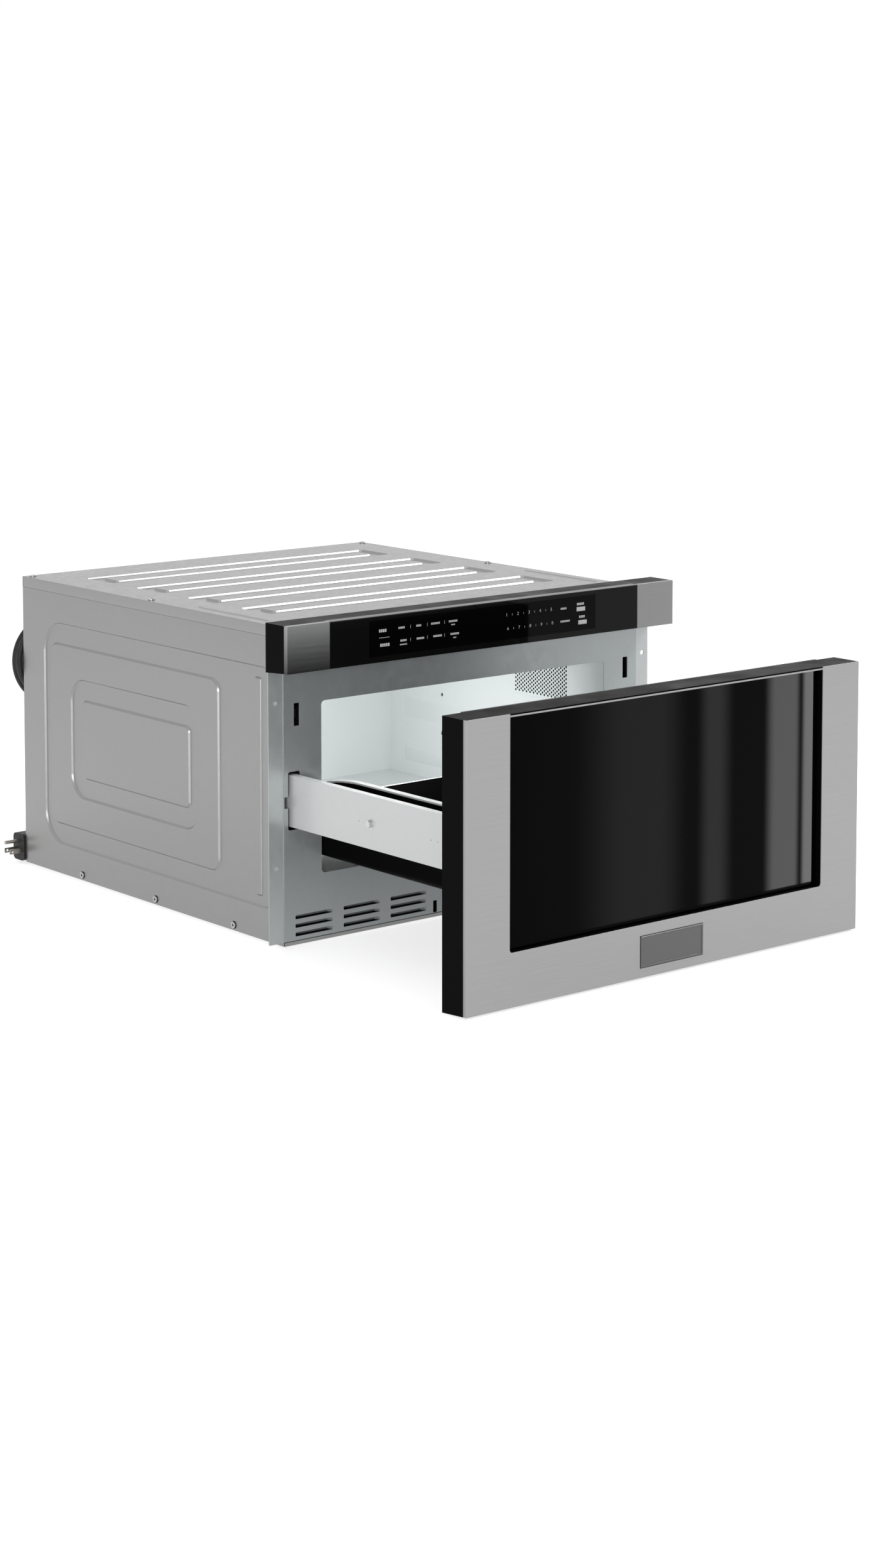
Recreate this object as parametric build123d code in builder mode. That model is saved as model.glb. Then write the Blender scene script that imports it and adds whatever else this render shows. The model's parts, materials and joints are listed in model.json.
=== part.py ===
"""Built-in drawer microwave: a sheet-metal cabinet with an enamelled cavity, and a powered drawer.

Millimetres, +Z up. X runs to the viewer's right, Y runs into the cabinet, and the drawer opens
towards -Y. The origin is the centre of the base plate's resting face. The drawer is modelled fully
open, and slides towards +Y by drawer_travel to close.
"""
import os
from math import acos, cos, pi, radians, sin, sqrt, tan

from build123d import *

os.makedirs("parts", exist_ok=True)

# ---------------------------------------------------------------- cabinet sizes
side_bay = 54.2                # between the cavity and each side of the body
roof_bay = 83.2                # from the cavity's ceiling to the body's top
rear_bay = 130.5               # between the cavity and the rear panel
sheet = 1.0
flange_reach = 21.0            # mounting flange beyond each side of the body
flange_bottom = 4.6            # the flange ends this far above the base
flange_hole_d = 5.5
flange_hole_inset = 9.8        # from the flange's outer edge
flange_hole_low = 93.6
flange_hole_high = 287.8
seam_drop = 13.4               # depth of the top cover's side skirt
top_flange = 15.0              # side panel's inward flange under the top cover
base_lip = 14.0                # base plate's upturned side flange
front_lip = 4.3                # base plate's upturned front flange
lip_gap = 0.7                  # gap between that flange and the front plate
panel_gap = 0.3                # gap between the skirt's edge and the side panel

# ---------------------------------------------------------------- cavity sizes
cavity_width = 448.0
cavity_floor = 79.0
cavity_height = 213.0
cavity_depth = 431.5
cavity_wall = 1.0
opening_side_lip = 0.7         # front plate's reach in front of the cavity, at each side
opening_sill = 0.7
opening_header = 8.0
opening_corner = 5.0
vent_columns = 29
vent_rows = 10
vent_column_pitch = 3.5
vent_row_pitch = 5.2
vent_hole_d = 2.7
vent_margin = 5.0
vent_behind_plate = 72.0       # from the front plate to the vent's first column
vent_above_floor = 146.0       # lowest row of vent holes above the cavity floor
probe_hole_d = 4.4
probe_hole_depth = 321.5       # probe holes, behind the front plate
probe_hole_heights = (65.0, 118.1)   # above the cavity floor

# ---------------------------------------------------------------- door and drawer sizes
door_overhang = 25.0           # door's reach beyond each side of the body
door_bottom = -3.7
door_depth = 40.6
door_bottom_taper = 2.6
door_stile = 61.4
door_rail = 60.5
door_wall = 3.0
door_wrap = 5.0                # how far the steel skin wraps back round the sides
skin_thickness = 1.0
glass_thickness = 4.0
glass_recess = 7.8
glass_lap = 9.0                # how far the frame's web reaches behind the glass
glass_corner = 4.0
glass_gap = 0.3
glass_top_margin = 3.4
glass_strip = 1.7              # height of the skin's strip above the glass
glass_bevel = 0.5
cap_round = 0.9
badge_width = 96.4
badge_height = 35.7
badge_bottom = 10.4
badge_thickness = 1.2
badge_frame = 2.0
badge_bevel = 0.5
inner_panel_inset = 4.2        # from each side of the body
inner_panel_step = 3.9         # inner panel's depth behind the frame's back
inner_panel_margin = 6.0
choke_thickness = 1.5
choke_side_lap = 25.0          # choke cover's reach beyond the cavity, at each side
choke_low_lap = 13.7           # and below and above the front plate's opening
choke_high_lap = 18.0
choke_band = 12.0
choke_margin = 4.0
closed_gap = 0.3
drawer_travel = 313.0
bumper_d = 9.0
bumper_tip_d = 5.0
bumper_tip = 1.5
bumper_inset = 3.4             # from the door's side
bumper_drop = 19.4             # bumper's centre below the door's top

pan_side_gap = 1.3             # between the pan and the opening, at each side
pan_floor_gap = 18.0           # from the opening's lower edge to the pan's bottom
pan_height = 99.3
pan_rear_height = 48.5
pan_rear_gap = 24.5            # how much shorter the pan is than the cavity
pan_shoulder = 241.5           # straight length of the side wall's top, from the door
pan_wall = 1.4
pan_corner = 10.0
pan_rim = 9.0
pan_rim_thickness = 2.0
tray_thickness = 4.0
tray_gap = 1.0
tray_corner = 8.0

# ---------------------------------------------------------------- drawer side plates and slides
side_plate_offset = 44.0       # side plate's outer face beyond the cavity's side
side_plate_bottom = 140.5
side_plate_height = 60.9
side_plate_flange = 9.5
side_plate_sheet = 1.2
side_plate_length = 380.0
slot_clearance = 4.0           # round the side plate, in the front plate's slot
slot_corner = 3.0
slide_height = 45.0
slide_depth = 12.7
slide_sheet = 1.2
slide_gap = 0.4                # running gap between nested members
slide_length = 370.0
slide_front_gap = 3.0          # fixed member's front end behind the front plate
slide_bracket_length = 30.0
slide_bracket_height = 24.0
slide_bracket_places = (80.0, 300.0)
plate_screw_z = 169.6
plate_screw_places = (165.6, 350.0)   # from the inner panel
plate_screw_head_d = 9.0
plate_screw_head = 3.4
plate_washer_d = 11.0
plate_washer = 1.0
notch_clearance = 1.2
pilot_hole_d = 1.6
pilot_hole_places = (46.5, 57.5, 186.0)   # from the inner panel

# ---------------------------------------------------------------- drawer drive
rack_module = 1.5
pressure_angle = 20.0
addendum_share = 0.65
dedendum_share = 0.9
flank_steps = 4
rack_slot_gap = 0.9            # rack's teeth to the slot's edge
gear_side_gap = 0.2
shaft_grip = 10.0
pinion_teeth = 12
tooth_backlash = 0.25
rack_height = 5.0
rack_body = 3.0
rack_length = 350.0
rack_rear_overhang = 60.0      # rack's rear end behind the front plate, with the drawer open
pinion_behind_plate = 32.0
pinion_shaft_d = 6.0
shaft_gap = 0.05
bore_end_gap = 1.0             # between a shaft's end and the bottom of its bore
gearbox_d = 36.0
motor_d = 32.0
motor_height = 58.0
gearbox_height = 20.0
gearbox_gap = 1.5              # under the side plate
gearbox_tab = 24.0

# ---------------------------------------------------------------- latches and interlocks
latch_offset = 35.2            # latch's middle beyond the cavity's side
latch_thickness = 5.0
latch_drop = 21.0              # latch's lower edge below the opening's upper edge
latch_height = 18.0
latch_reach = 26.0
latch_tip = 5.0
latch_notch = 6.0
latch_bevel = 2.0
latch_clearance_x = 1.5
latch_clearance_z = 4.4
switch_width = 9.0
switch_height = 16.0
switch_depth = 27.0
lever_thickness = 0.8
lever_gap = 0.3
lever_inset = 4.0
lever_short = 3.0
lever_travel = 3.4             # room for the lever between the latch and the switch
pivot_offset = 0.7
pivot_d = 1.6
switch_front_gap = 3.0
switch_pivot_gap = 2.4
ear_thickness = 2.0
ear_reach = 2.0
bracket_sheet = 1.2
bracket_margin = 4.0
bracket_foot = 10.0
bracket_toe = 5.0

# ---------------------------------------------------------------- control housing above the door
trim_drop = 49.4               # housing's lower edge below the body's top
trim_gap = 4.9                 # between the door's top and the housing
trim_height = 57.8
trim_depth = 41.0
trim_taper = 2.6
trim_wall = 2.5
cap_thickness = 1.0
cap_depth = 5.5
panel_return = 11.0            # how far the glass panel wraps back over the housing
board_thickness = 1.6
board_length = 400.0
board_height = 40.0
board_standoff = 8.0
display_width = 130.0
display_height = 26.0
post_d = 6.0
post_inset = 20.0
rib_depth = 10.0

# ---------------------------------------------------------------- louvres and pressings
louvre_width = 54.6
louvre_height = 4.6
louvre_pitch_x = 70.9
louvre_pitch_z = 10.2
louvre_groups = 3
louvre_rows = 3
louvre_inset = 43.6            # outer group's centre from the body's side
louvre_top = 34.8
service_slot_x = 51.5
service_slot_z = 12.9
service_slot_width = 6.0
service_slot_height = 14.6
press_depth = 0.8
rib_count = 4
rib_pitch = 113.0
rib_first = 128.0              # first rib's centre behind the front plate
rib_side_margin = 52.2
rib_width = 64.0
rib_band = 16.5
rib_corner = 6.0
# pressings on each side: margins from the front, rear, base and top, then the corner radius
side_press = (30.0, 48.2, 39.0, 50.2, 40.0)
side_pad = (130.5, 63.0, 64.0, 77.2, 16.0)
side_well = (171.4, 110.7, 104.8, 117.0, 30.0)
side_core = (191.6, 137.5, 130.8, 143.0, 8.0)

# ---------------------------------------------------------------- body screws
screw_head_d = 7.4
screw_head = 2.0
screw_shank_d = 3.2
screw_shank = 5.0
screw_hole_gap = 0.2
top_screw_inset = 8.2
top_screw_front = 281.0        # front screw, behind the front plate
top_screw_rear = 12.0          # rear screw, ahead of the rear panel
side_screw_places = (100.3, 264.8, 429.5)
side_screw_z = 6.8
rear_screw_inset = 9.0
rear_screw_drop = 30.2         # upper screw below the body's top
rear_screw_lower = (70.0, 187.0)

# ---------------------------------------------------------------- microwave source and cooling
guide_width = 90.0
guide_height = 43.0
guide_sheet = 1.2
guide_front = 40.0             # guide's front end, ahead of the stirrer's axis
guide_depth_past = 28.0         # guide's rear end past the antenna
rear_gap = 2.0
feed_hole_d = 70.0
stirrer_behind_plate = 245.0
stirrer_blade_r = 52.0
stirrer_blade_sheet = 1.0
stirrer_hub_d = 16.0
stirrer_hub_height = 5.0
stirrer_hub_drop = 3.0
stirrer_blades = 4
stirrer_blade_width = 24.0
stirrer_shaft_grip = 8.0
shaft_hole_gap = 1.0
stirrer_shaft_d = 6.0
stirrer_motor_d = 48.0
stirrer_motor_height = 18.0
stirrer_cover_width = 200.0
stirrer_cover_depth = 11.0
stirrer_cover_sheet = 1.5
antenna_d = 15.0
antenna_hole_d = 22.0
antenna_height = 25.0
magnetron_width = 84.0
magnetron_depth = 62.0
magnetron_height = 60.0
magnetron_fins = 7
magnetron_core_d = 42.0
magnetron_sheet = 3.0
fin_sheet = 0.8
filter_box_width = 50.0
filter_box_depth = 40.0
filter_box_height = 30.0
fan_x = 150.0
fan_z = 190.0
fan_frame = 104.0
fan_frame_depth = 26.0
fan_bore = 94.0
fan_blade_r = 43.0
fan_blades = 7
fan_hub_d = 36.0
fan_motor_depth = 10.0
fan_hub_depth = 10.0
fan_spoke = 3.0
fan_spoke_width = 8.0
fan_gap = 0.3
fan_blade_chord = 18.0
fan_blade_sheet = 1.4
fan_blade_tilt = 62.0          # degrees from the shaft's line
fan_blade_root = 1.0           # how far a blade runs into the hub
fan_shaft_d = 4.0
rear_slot_width = 60.0
rear_slot_height = 4.0
rear_slot_pitch = 9.0
rear_slot_count = 9
inverter_width = 180.0
inverter_depth = 96.0
inverter_x = -130.0
inverter_standoff = 8.0
standoff_inset = 8.0
standoff_d = 6.0
sink_width = 50.0
sink_depth = 70.0
sink_height = 36.0
sink_fin = 2.0
sink_fins = 9
can_d = 22.0
can_height = 30.0
can_offset = -14.0
can_pitch = 26.0
transformer_core = 40.0
transformer_height = 32.0
winding_d = 47.0
winding_height = 20.0
transformer_offset = 58.0
lamp_d = 22.0
lamp_length = 24.0
lamp_socket = 26.0
lamp_socket_depth = 14.0
filter_width = 70.0
filter_height = 50.0
filter_depth = 26.0
filter_core_d = 24.0
filter_can = 18.0

# ---------------------------------------------------------------- supply cord
cord_d = 9.0
cord_pitch = 9.6
cord_wall_gap = 3.0            # between the rear panel and the coil
coil_z = 262.0
coil_radius = 56.0
coil_half_turns = 6
coil_climb_slope = 1.1
coil_sample_step = 3.0
gland_x = -168.0
gland_drop = 25.2              # below the body's top
gland_neck_d = 14.0
gland_hood = 26.0
gland_hood_low = 7.0
gland_hood_back = 9.0
gland_round = 4.0
gland_sleeve_d = 16.0
gland_sleeve_wall = 1.0
gland_sleeve = 24.0
plug_x = -281.0                # front face of the plug
plug_length = 36.0
plug_width = 26.0
plug_height = 35.0
plug_bottom = 0.4
plug_wall_gap = 0.4
plug_boot = 12.0
plug_boot_d = 18.0
plug_round = 6.0
plug_bevel = 3.0
blade_spacing = 12.7
blade_width = 6.3
blade_sheet = 1.5
blade_length = 17.5
blade_hole_inset = 4.0
blade_hole_d = 3.2
ground_spacing = 11.9
ground_pin_d = 4.8
ground_pin_length = 20.5
tie_width = 6.0
tie_thickness = 1.2
tie_gap = 0.3
tie_sag = 2.2

# ---------------------------------------------------------------- shared places
body_width = cavity_width + 2 * side_bay
body_depth = sheet + cavity_depth + cavity_wall + rear_bay + sheet
body_height = cavity_floor + cavity_height + roof_bay
half = body_width / 2
front_y = -body_depth / 2
rear_y = body_depth / 2
plate_back = front_y + sheet
flange_back = plate_back + sheet
inside_x = half - sheet
skirt_bottom = body_height - seam_drop
panel_top = skirt_bottom - panel_gap
under_top = body_height - sheet
rear_inside = rear_y - sheet
cavity_x = cavity_width / 2
cavity_outer_x = cavity_x + cavity_wall
cavity_back = plate_back + cavity_depth
cavity_rear_face = cavity_back + cavity_wall
cavity_top = cavity_floor + cavity_height
opening_width = cavity_width - 2 * opening_side_lip
opening_bottom = cavity_floor + opening_sill
opening_top = cavity_top - opening_header
top_screw_places = (top_screw_front, body_depth - top_screw_rear)
rear_screw_heights = (*rear_screw_lower, body_height - rear_screw_drop)
choke_back = front_y - drawer_travel - closed_gap
panel_back = choke_back - choke_thickness
frame_back = panel_back - inner_panel_step
door_front = frame_back - door_depth
trim_bottom = body_height - trim_drop
door_top = trim_bottom - trim_gap
door_x = half + door_overhang
window_x = door_x - door_stile
window_low = door_bottom + door_bottom_taper + door_rail
window_high = door_top - glass_top_margin
trim_front = front_y - trim_depth
trim_top = trim_bottom + trim_height
pan_x = opening_width / 2 - pan_side_gap
pan_bottom = opening_bottom + pan_floor_gap
pan_top = pan_bottom + pan_height
pan_rear_top = pan_bottom + pan_rear_height
pan_length = cavity_depth - pan_rear_gap
side_plate_outer = cavity_x + side_plate_offset
latch_x = cavity_x + latch_offset
latch_low = opening_top - latch_drop
gland_z = body_height - gland_drop
slide_z = side_plate_bottom + side_plate_height / 2
slide_x = side_plate_outer - side_plate_sheet
slide_start = plate_back + slide_front_gap
sides = (("left", -1), ("right", 1))
front_plane = Plane(origin=(0, front_y, 0), x_dir=(1, 0, 0), z_dir=(0, -1, 0))


def block(x, y, z, mode=Mode.ADD):
    """Box between the given pairs of limits along X, Y and Z."""
    low, high = sorted(x)
    with Locations(((low + high) / 2, (y[0] + y[1]) / 2, (z[0] + z[1]) / 2)):
        Box(high - low, y[1] - y[0], z[1] - z[0], mode=mode)


def rod(start, way, diameter, length, mode=Mode.ADD):
    """Cylinder from start along the direction way."""
    with BuildSketch(Plane(origin=start, z_dir=way)) as section:
        Circle(diameter / 2)
    extrude(section.sketch, amount=length, mode=mode)


def shank_hole(start, way):
    """Clearance hole for a body screw, cut from the outer face inwards."""
    rod(start, way, screw_shank_d + 2 * screw_hole_gap, screw_shank, Mode.SUBTRACT)


def outline(limits, mode=Mode.ADD):
    """Rounded rectangle between limits: low and high along both sketch axes, and the corner radius."""
    low_x, high_x, low_y, high_y, corner = limits
    with Locations(((low_x + high_x) / 2, (low_y + high_y) / 2)):
        RectangleRounded(high_x - low_x, high_y - low_y, corner, mode=mode)


def side_limits(margins):
    """Limits on a body side, measured from the front plate and the base."""
    front, rear, low, high, corner = margins
    return front, body_depth - rear, low, body_height - high, corner


def press_ring(plane, outer, inner, inward):
    """Press a ring-shaped channel into a sheet whose outer face lies on plane."""
    for start, mode in ((sheet, Mode.ADD), (0, Mode.SUBTRACT)):
        with BuildSketch(plane.offset(inward * start)) as ring:
            outline(outer)
            outline(inner, Mode.SUBTRACT)
        extrude(ring.sketch, amount=inward * press_depth, mode=mode)


def side_profile(low_back, low_front, high_front, high_back, back, front, reach):
    """Prism along X with a side profile whose top and bottom may taper towards the front."""
    corners = ((back, low_back), (front, low_front), (front, high_front), (back, high_back))
    with BuildSketch(Plane.YZ) as section:
        with BuildLine():
            Polyline(*corners, close=True)
        make_face()
    extrude(section.sketch, amount=reach, both=True)


def biarc(start, start_way, end, end_way):
    """Two arcs that leave start and reach end along the given unit directions."""
    chord = end - start
    ways = start_way + end_way
    bend = 2 * (1 - start_way.dot(end_way))
    along = chord.dot(ways)
    reach = (sqrt(along * along + bend * chord.dot(chord)) - along) / bend
    first = start + start_way * reach
    last = end - end_way * reach
    join = (first + last) * 0.5
    TangentArc(start, join, tangent=start_way)
    TangentArc(join, end, tangent=last - first)


def bend_radii(points):
    """Radius of each corner: 0.45 of its shorter run over the tangent of half its turn."""
    radii = []
    for before, corner, after in zip(points, points[1:], points[2:]):
        way_in = corner - before
        way_out = after - corner
        shorter = min(way_in.length, way_out.length)
        radii.append(0.45 * shorter / tan(radians(way_in.get_angle(way_out)) / 2))
    return radii


# ================================================================ cabinet
with BuildPart() as base_plate:
    block((-inside_x, inside_x), (front_y, rear_inside), (0, sheet))
    block((-inside_x, inside_x), (front_y, plate_back), (0, front_lip))
    for name, side in sides:
        block((side * inside_x, side * (inside_x - sheet)), (flange_back, rear_inside), (0, base_lip))
        for place in side_screw_places:
            shank_hole((side * half, front_y + place, side_screw_z), (-side, 0, 0))
base_plate.part.label = "base_plate"
export_step(base_plate.part, "parts/base_plate.step")

for name, side in sides:
    with BuildPart() as side_panel:
        inner_face = side * inside_x
        inner_side = side * (inside_x - sheet)
        flange_edge = side * (inside_x - top_flange)
        block((side * half, inner_face), (plate_back, rear_inside), (0, panel_top))
        block((side * half, inner_side), (flange_back, rear_inside), (panel_top - sheet, panel_top))
        block((inner_face, inner_side), (flange_back, rear_inside), (panel_top - sheet, under_top))
        block((inner_face, flange_edge), (flange_back, rear_inside), (under_top - sheet, under_top))
        block((inner_face, flange_edge), (rear_inside - sheet, rear_inside), (base_lip + sheet, under_top))
        flange_x = (inner_face, side * (half + flange_reach))
        block(flange_x, (plate_back, flange_back), (flange_bottom, panel_top))
        for height in (flange_hole_low, flange_hole_high):
            hole_x = side * (half + flange_reach - flange_hole_inset)
            rod((hole_x, front_y, height), (0, 1, 0), flange_hole_d, 3 * sheet, Mode.SUBTRACT)
        for place in side_screw_places:
            shank_hole((side * half, front_y + place, side_screw_z), (-side, 0, 0))
        for place in top_screw_places:
            shank_hole((side * (half - top_screw_inset), front_y + place, body_height), (0, 0, -1))
        for height in rear_screw_heights:
            shank_hole((side * (half - rear_screw_inset), rear_y, height), (0, -1, 0))
        face = Plane(origin=(side * half, front_y, 0), x_dir=(0, 1, 0), z_dir=(1, 0, 0))
        press_ring(face, side_limits(side_press), side_limits(side_pad), -side)
        press_ring(face, side_limits(side_well), side_limits(side_core), -side)
    side_panel.part.label = f"side_panel_{name}"
    export_step(side_panel.part, f"parts/side_panel_{name}.step")

with BuildPart() as top_cover:
    block((-half, half), (plate_back, rear_y), (under_top, body_height))
    for name, side in sides:
        block((side * half, side * inside_x), (plate_back, rear_inside), (skirt_bottom, body_height))
        for place in top_screw_places:
            shank_hole((side * (half - top_screw_inset), front_y + place, body_height), (0, 0, -1))
    for rib in range(rib_count):
        middle = front_y + rib_first + rib * rib_pitch
        reach_x = half - rib_side_margin
        reach_y = rib_width / 2
        rib_outer = (-reach_x, reach_x, middle - reach_y, middle + reach_y, rib_corner)
        pad_x = reach_x - rib_band
        pad_y = reach_y - rib_band
        rib_inner = (-pad_x, pad_x, middle - pad_y, middle + pad_y, rib_corner)
        press_ring(Plane.XY.offset(body_height), rib_outer, rib_inner, -1)
top_cover.part.label = "top_cover"
export_step(top_cover.part, "parts/top_cover.step")

with BuildPart() as rear_panel:
    block((-half, half), (rear_inside, rear_y), (0, under_top))
    for name, side in sides:
        for height in rear_screw_heights:
            shank_hole((side * (half - rear_screw_inset), rear_y, height), (0, -1, 0))
    for row in range(rear_slot_count):
        slot_z = fan_z + (row - (rear_slot_count - 1) / 2) * rear_slot_pitch
        with BuildSketch(Plane(origin=(fan_x, rear_y, slot_z), x_dir=(1, 0, 0), z_dir=(0, -1, 0))):
            SlotOverall(rear_slot_width, rear_slot_height)
        extrude(amount=2 * sheet, mode=Mode.SUBTRACT)
    rod((gland_x, rear_inside, gland_z), (0, 1, 0), gland_neck_d, sheet, Mode.SUBTRACT)
rear_panel.part.label = "rear_panel"
export_step(rear_panel.part, "parts/rear_panel.step")

with BuildPart() as front_plate:
    block((-half, half), (front_y, plate_back), (front_lip + lip_gap, body_height))
    with BuildSketch(front_plane):
        opening_x = opening_width / 2
        outline((-opening_x, opening_x, opening_bottom, opening_top, opening_corner))
        for name, side in sides:
            slot_x = side * (side_plate_outer - side_plate_flange / 2)
            slot_half = side_plate_flange / 2 + slot_clearance
            slot_reach = side_plate_height / 2 + slot_clearance
            slot_z = (slide_z - slot_reach, slide_z + slot_reach)
            outline((slot_x - slot_half, slot_x + slot_half, *slot_z, slot_corner))
            notch_half = plate_washer_d / 2 + notch_clearance
            notch_width = inside_x - side_plate_outer
            with Locations((side * (inside_x - notch_width / 2), plate_screw_z)):
                Rectangle(notch_width, 2 * notch_half)
            latch_middle = latch_low + latch_height / 2
            with Locations((side * latch_x, latch_middle)):
                slot_width = latch_thickness + 2 * latch_clearance_x
                RectangleRounded(slot_width, latch_height + 2 * latch_clearance_z, 1)
            for group in range(louvre_groups):
                for row in range(louvre_rows):
                    louvre_x = side * (half - louvre_inset - group * louvre_pitch_x)
                    louvre_z = louvre_top - row * louvre_pitch_z - louvre_height / 2
                    with Locations((louvre_x, louvre_z)):
                        RectangleRounded(louvre_width, louvre_height, 1)
        with Locations((-service_slot_x, service_slot_z)):
            RectangleRounded(service_slot_width, service_slot_height, 1)
    extrude(amount=-sheet, mode=Mode.SUBTRACT)
front_plate.part.label = "front_plate"
export_step(front_plate.part, "parts/front_plate.step")

# ---------------------------------------------------------------- cavity
vent_y = front_y + vent_behind_plate
vent_z = cavity_floor + vent_above_floor
vent_width = (vent_columns - 1) * vent_column_pitch
vent_height = (vent_rows - 0.5) * vent_row_pitch
vent_limits_y = (vent_y - vent_margin, vent_y + vent_width + vent_margin)
vent_limits_z = (vent_z - vent_margin, vent_z + vent_height + vent_margin)
stirrer_y = front_y + stirrer_behind_plate
guide_bottom = cavity_top + cavity_wall
guide_top = guide_bottom + guide_height
magnetron_y = cavity_rear_face + rear_gap + magnetron_depth / 2
guide_rear = magnetron_y + guide_depth_past

with BuildPart() as cavity_shell:
    block(
        (-cavity_outer_x, cavity_outer_x),
        (plate_back, cavity_rear_face),
        (cavity_floor - cavity_wall, guide_bottom),
    )
    block((-cavity_x, cavity_x), (plate_back, cavity_back), (cavity_floor, cavity_top), Mode.SUBTRACT)
    block((cavity_x, cavity_outer_x), vent_limits_y, vent_limits_z, Mode.SUBTRACT)
    rod((0, stirrer_y, cavity_top), (0, 0, 1), feed_hole_d, cavity_wall, Mode.SUBTRACT)
    for height in probe_hole_heights:
        probe_start = (cavity_x, front_y + probe_hole_depth, cavity_floor + height)
        rod(probe_start, (1, 0, 0), probe_hole_d, cavity_wall, Mode.SUBTRACT)
cavity_shell.part.label = "cavity_shell"
export_step(cavity_shell.part, "parts/cavity_shell.step")

with BuildPart() as vent_screen:
    block((cavity_x, cavity_outer_x), vent_limits_y, vent_limits_z)
    holes = []
    for column in range(vent_columns):
        for row in range(vent_rows):
            stagger = 0.5 * (column % 2)
            holes.append((vent_y + column * vent_column_pitch, vent_z + (row + stagger) * vent_row_pitch))
    with BuildSketch(Plane(origin=(cavity_x, 0, 0), x_dir=(0, 1, 0), z_dir=(1, 0, 0))):
        with Locations(*holes):
            Circle(vent_hole_d / 2)
    extrude(amount=cavity_wall, mode=Mode.SUBTRACT)
vent_screen.part.label = "vent_screen"
export_step(vent_screen.part, "parts/vent_screen.step")

with BuildPart() as stirrer_cover:
    reach = stirrer_cover_width / 2
    wall = stirrer_cover_sheet
    low = cavity_top - stirrer_cover_depth
    block((-reach, reach), (stirrer_y - reach, stirrer_y + reach), (low, cavity_top))
    block(
        (-reach + wall, reach - wall),
        (stirrer_y - reach + wall, stirrer_y + reach - wall),
        (low + wall, cavity_top),
        Mode.SUBTRACT,
    )
stirrer_cover.part.label = "stirrer_cover"
export_step(stirrer_cover.part, "parts/stirrer_cover.step")

with BuildPart() as stirrer:
    hub_top = cavity_top - stirrer_hub_drop
    rod((0, stirrer_y, hub_top), (0, 0, -1), stirrer_hub_d, stirrer_hub_height)
    rod((0, stirrer_y, hub_top), (0, 0, 1), stirrer_shaft_d, guide_top + stirrer_shaft_grip - hub_top)
    blade_z = hub_top - stirrer_hub_height / 2
    with BuildSketch(Plane(origin=(0, stirrer_y, blade_z), z_dir=(0, 0, 1))):
        with PolarLocations(stirrer_blade_r / 2, stirrer_blades):
            SlotOverall(stirrer_blade_r, stirrer_blade_width)
    extrude(amount=stirrer_blade_sheet)
stirrer.part.label = "stirrer"
export_step(stirrer.part, "parts/stirrer.step")

with BuildPart() as waveguide:
    guide_x = guide_width / 2
    guide_limits_y = (stirrer_y - guide_front, guide_rear)
    block((-guide_x, guide_x), guide_limits_y, (guide_bottom, guide_top))
    block(
        (-guide_x + guide_sheet, guide_x - guide_sheet),
        (guide_limits_y[0] + guide_sheet, guide_rear - guide_sheet),
        (guide_bottom + guide_sheet, guide_top - guide_sheet),
        Mode.SUBTRACT,
    )
    rod((0, stirrer_y, guide_bottom), (0, 0, 1), feed_hole_d, guide_sheet, Mode.SUBTRACT)
    shaft_hole_d = stirrer_shaft_d + 2 * shaft_hole_gap
    rod((0, stirrer_y, guide_top), (0, 0, -1), shaft_hole_d, guide_sheet, Mode.SUBTRACT)
    rod((0, magnetron_y, guide_bottom), (0, 0, 1), antenna_hole_d, guide_sheet, Mode.SUBTRACT)
waveguide.part.label = "waveguide"
export_step(waveguide.part, "parts/waveguide.step")

with BuildPart() as stirrer_motor:
    rod((0, stirrer_y, guide_top), (0, 0, 1), stirrer_motor_d, stirrer_motor_height)
    bore_d = stirrer_shaft_d + 2 * shaft_gap
    rod((0, stirrer_y, guide_top), (0, 0, 1), bore_d, stirrer_shaft_grip + bore_end_gap, Mode.SUBTRACT)
stirrer_motor.part.label = "stirrer_motor"
export_step(stirrer_motor.part, "parts/stirrer_motor.step")

with BuildPart() as magnetron:
    yoke = magnetron_sheet
    tube_x = magnetron_width / 2
    limits_y = (magnetron_y - magnetron_depth / 2, magnetron_y + magnetron_depth / 2)
    magnetron_low = guide_bottom - magnetron_height
    block((-tube_x, tube_x), limits_y, (magnetron_low, guide_bottom))
    window_z = (magnetron_low + yoke, guide_bottom - yoke)
    block((-tube_x + yoke, tube_x - yoke), limits_y, window_z, Mode.SUBTRACT)
    rod((0, magnetron_y, magnetron_low), (0, 0, 1), magnetron_core_d, magnetron_height)
    fin_pitch = (magnetron_height - 2 * yoke) / (magnetron_fins + 1)
    for fin in range(magnetron_fins):
        fin_z = magnetron_low + yoke + (fin + 1) * fin_pitch
        block((-tube_x + yoke, tube_x - yoke), limits_y, (fin_z, fin_z + fin_sheet))
    rod((0, magnetron_y, guide_bottom), (0, 0, 1), antenna_d, antenna_height)
    filter_x = filter_box_width / 2
    filter_y = (magnetron_y - filter_box_depth / 2, magnetron_y + filter_box_depth / 2)
    block((-filter_x, filter_x), filter_y, (magnetron_low - filter_box_height, magnetron_low))
magnetron.part.label = "magnetron"
export_step(magnetron.part, "parts/magnetron.step")

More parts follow.
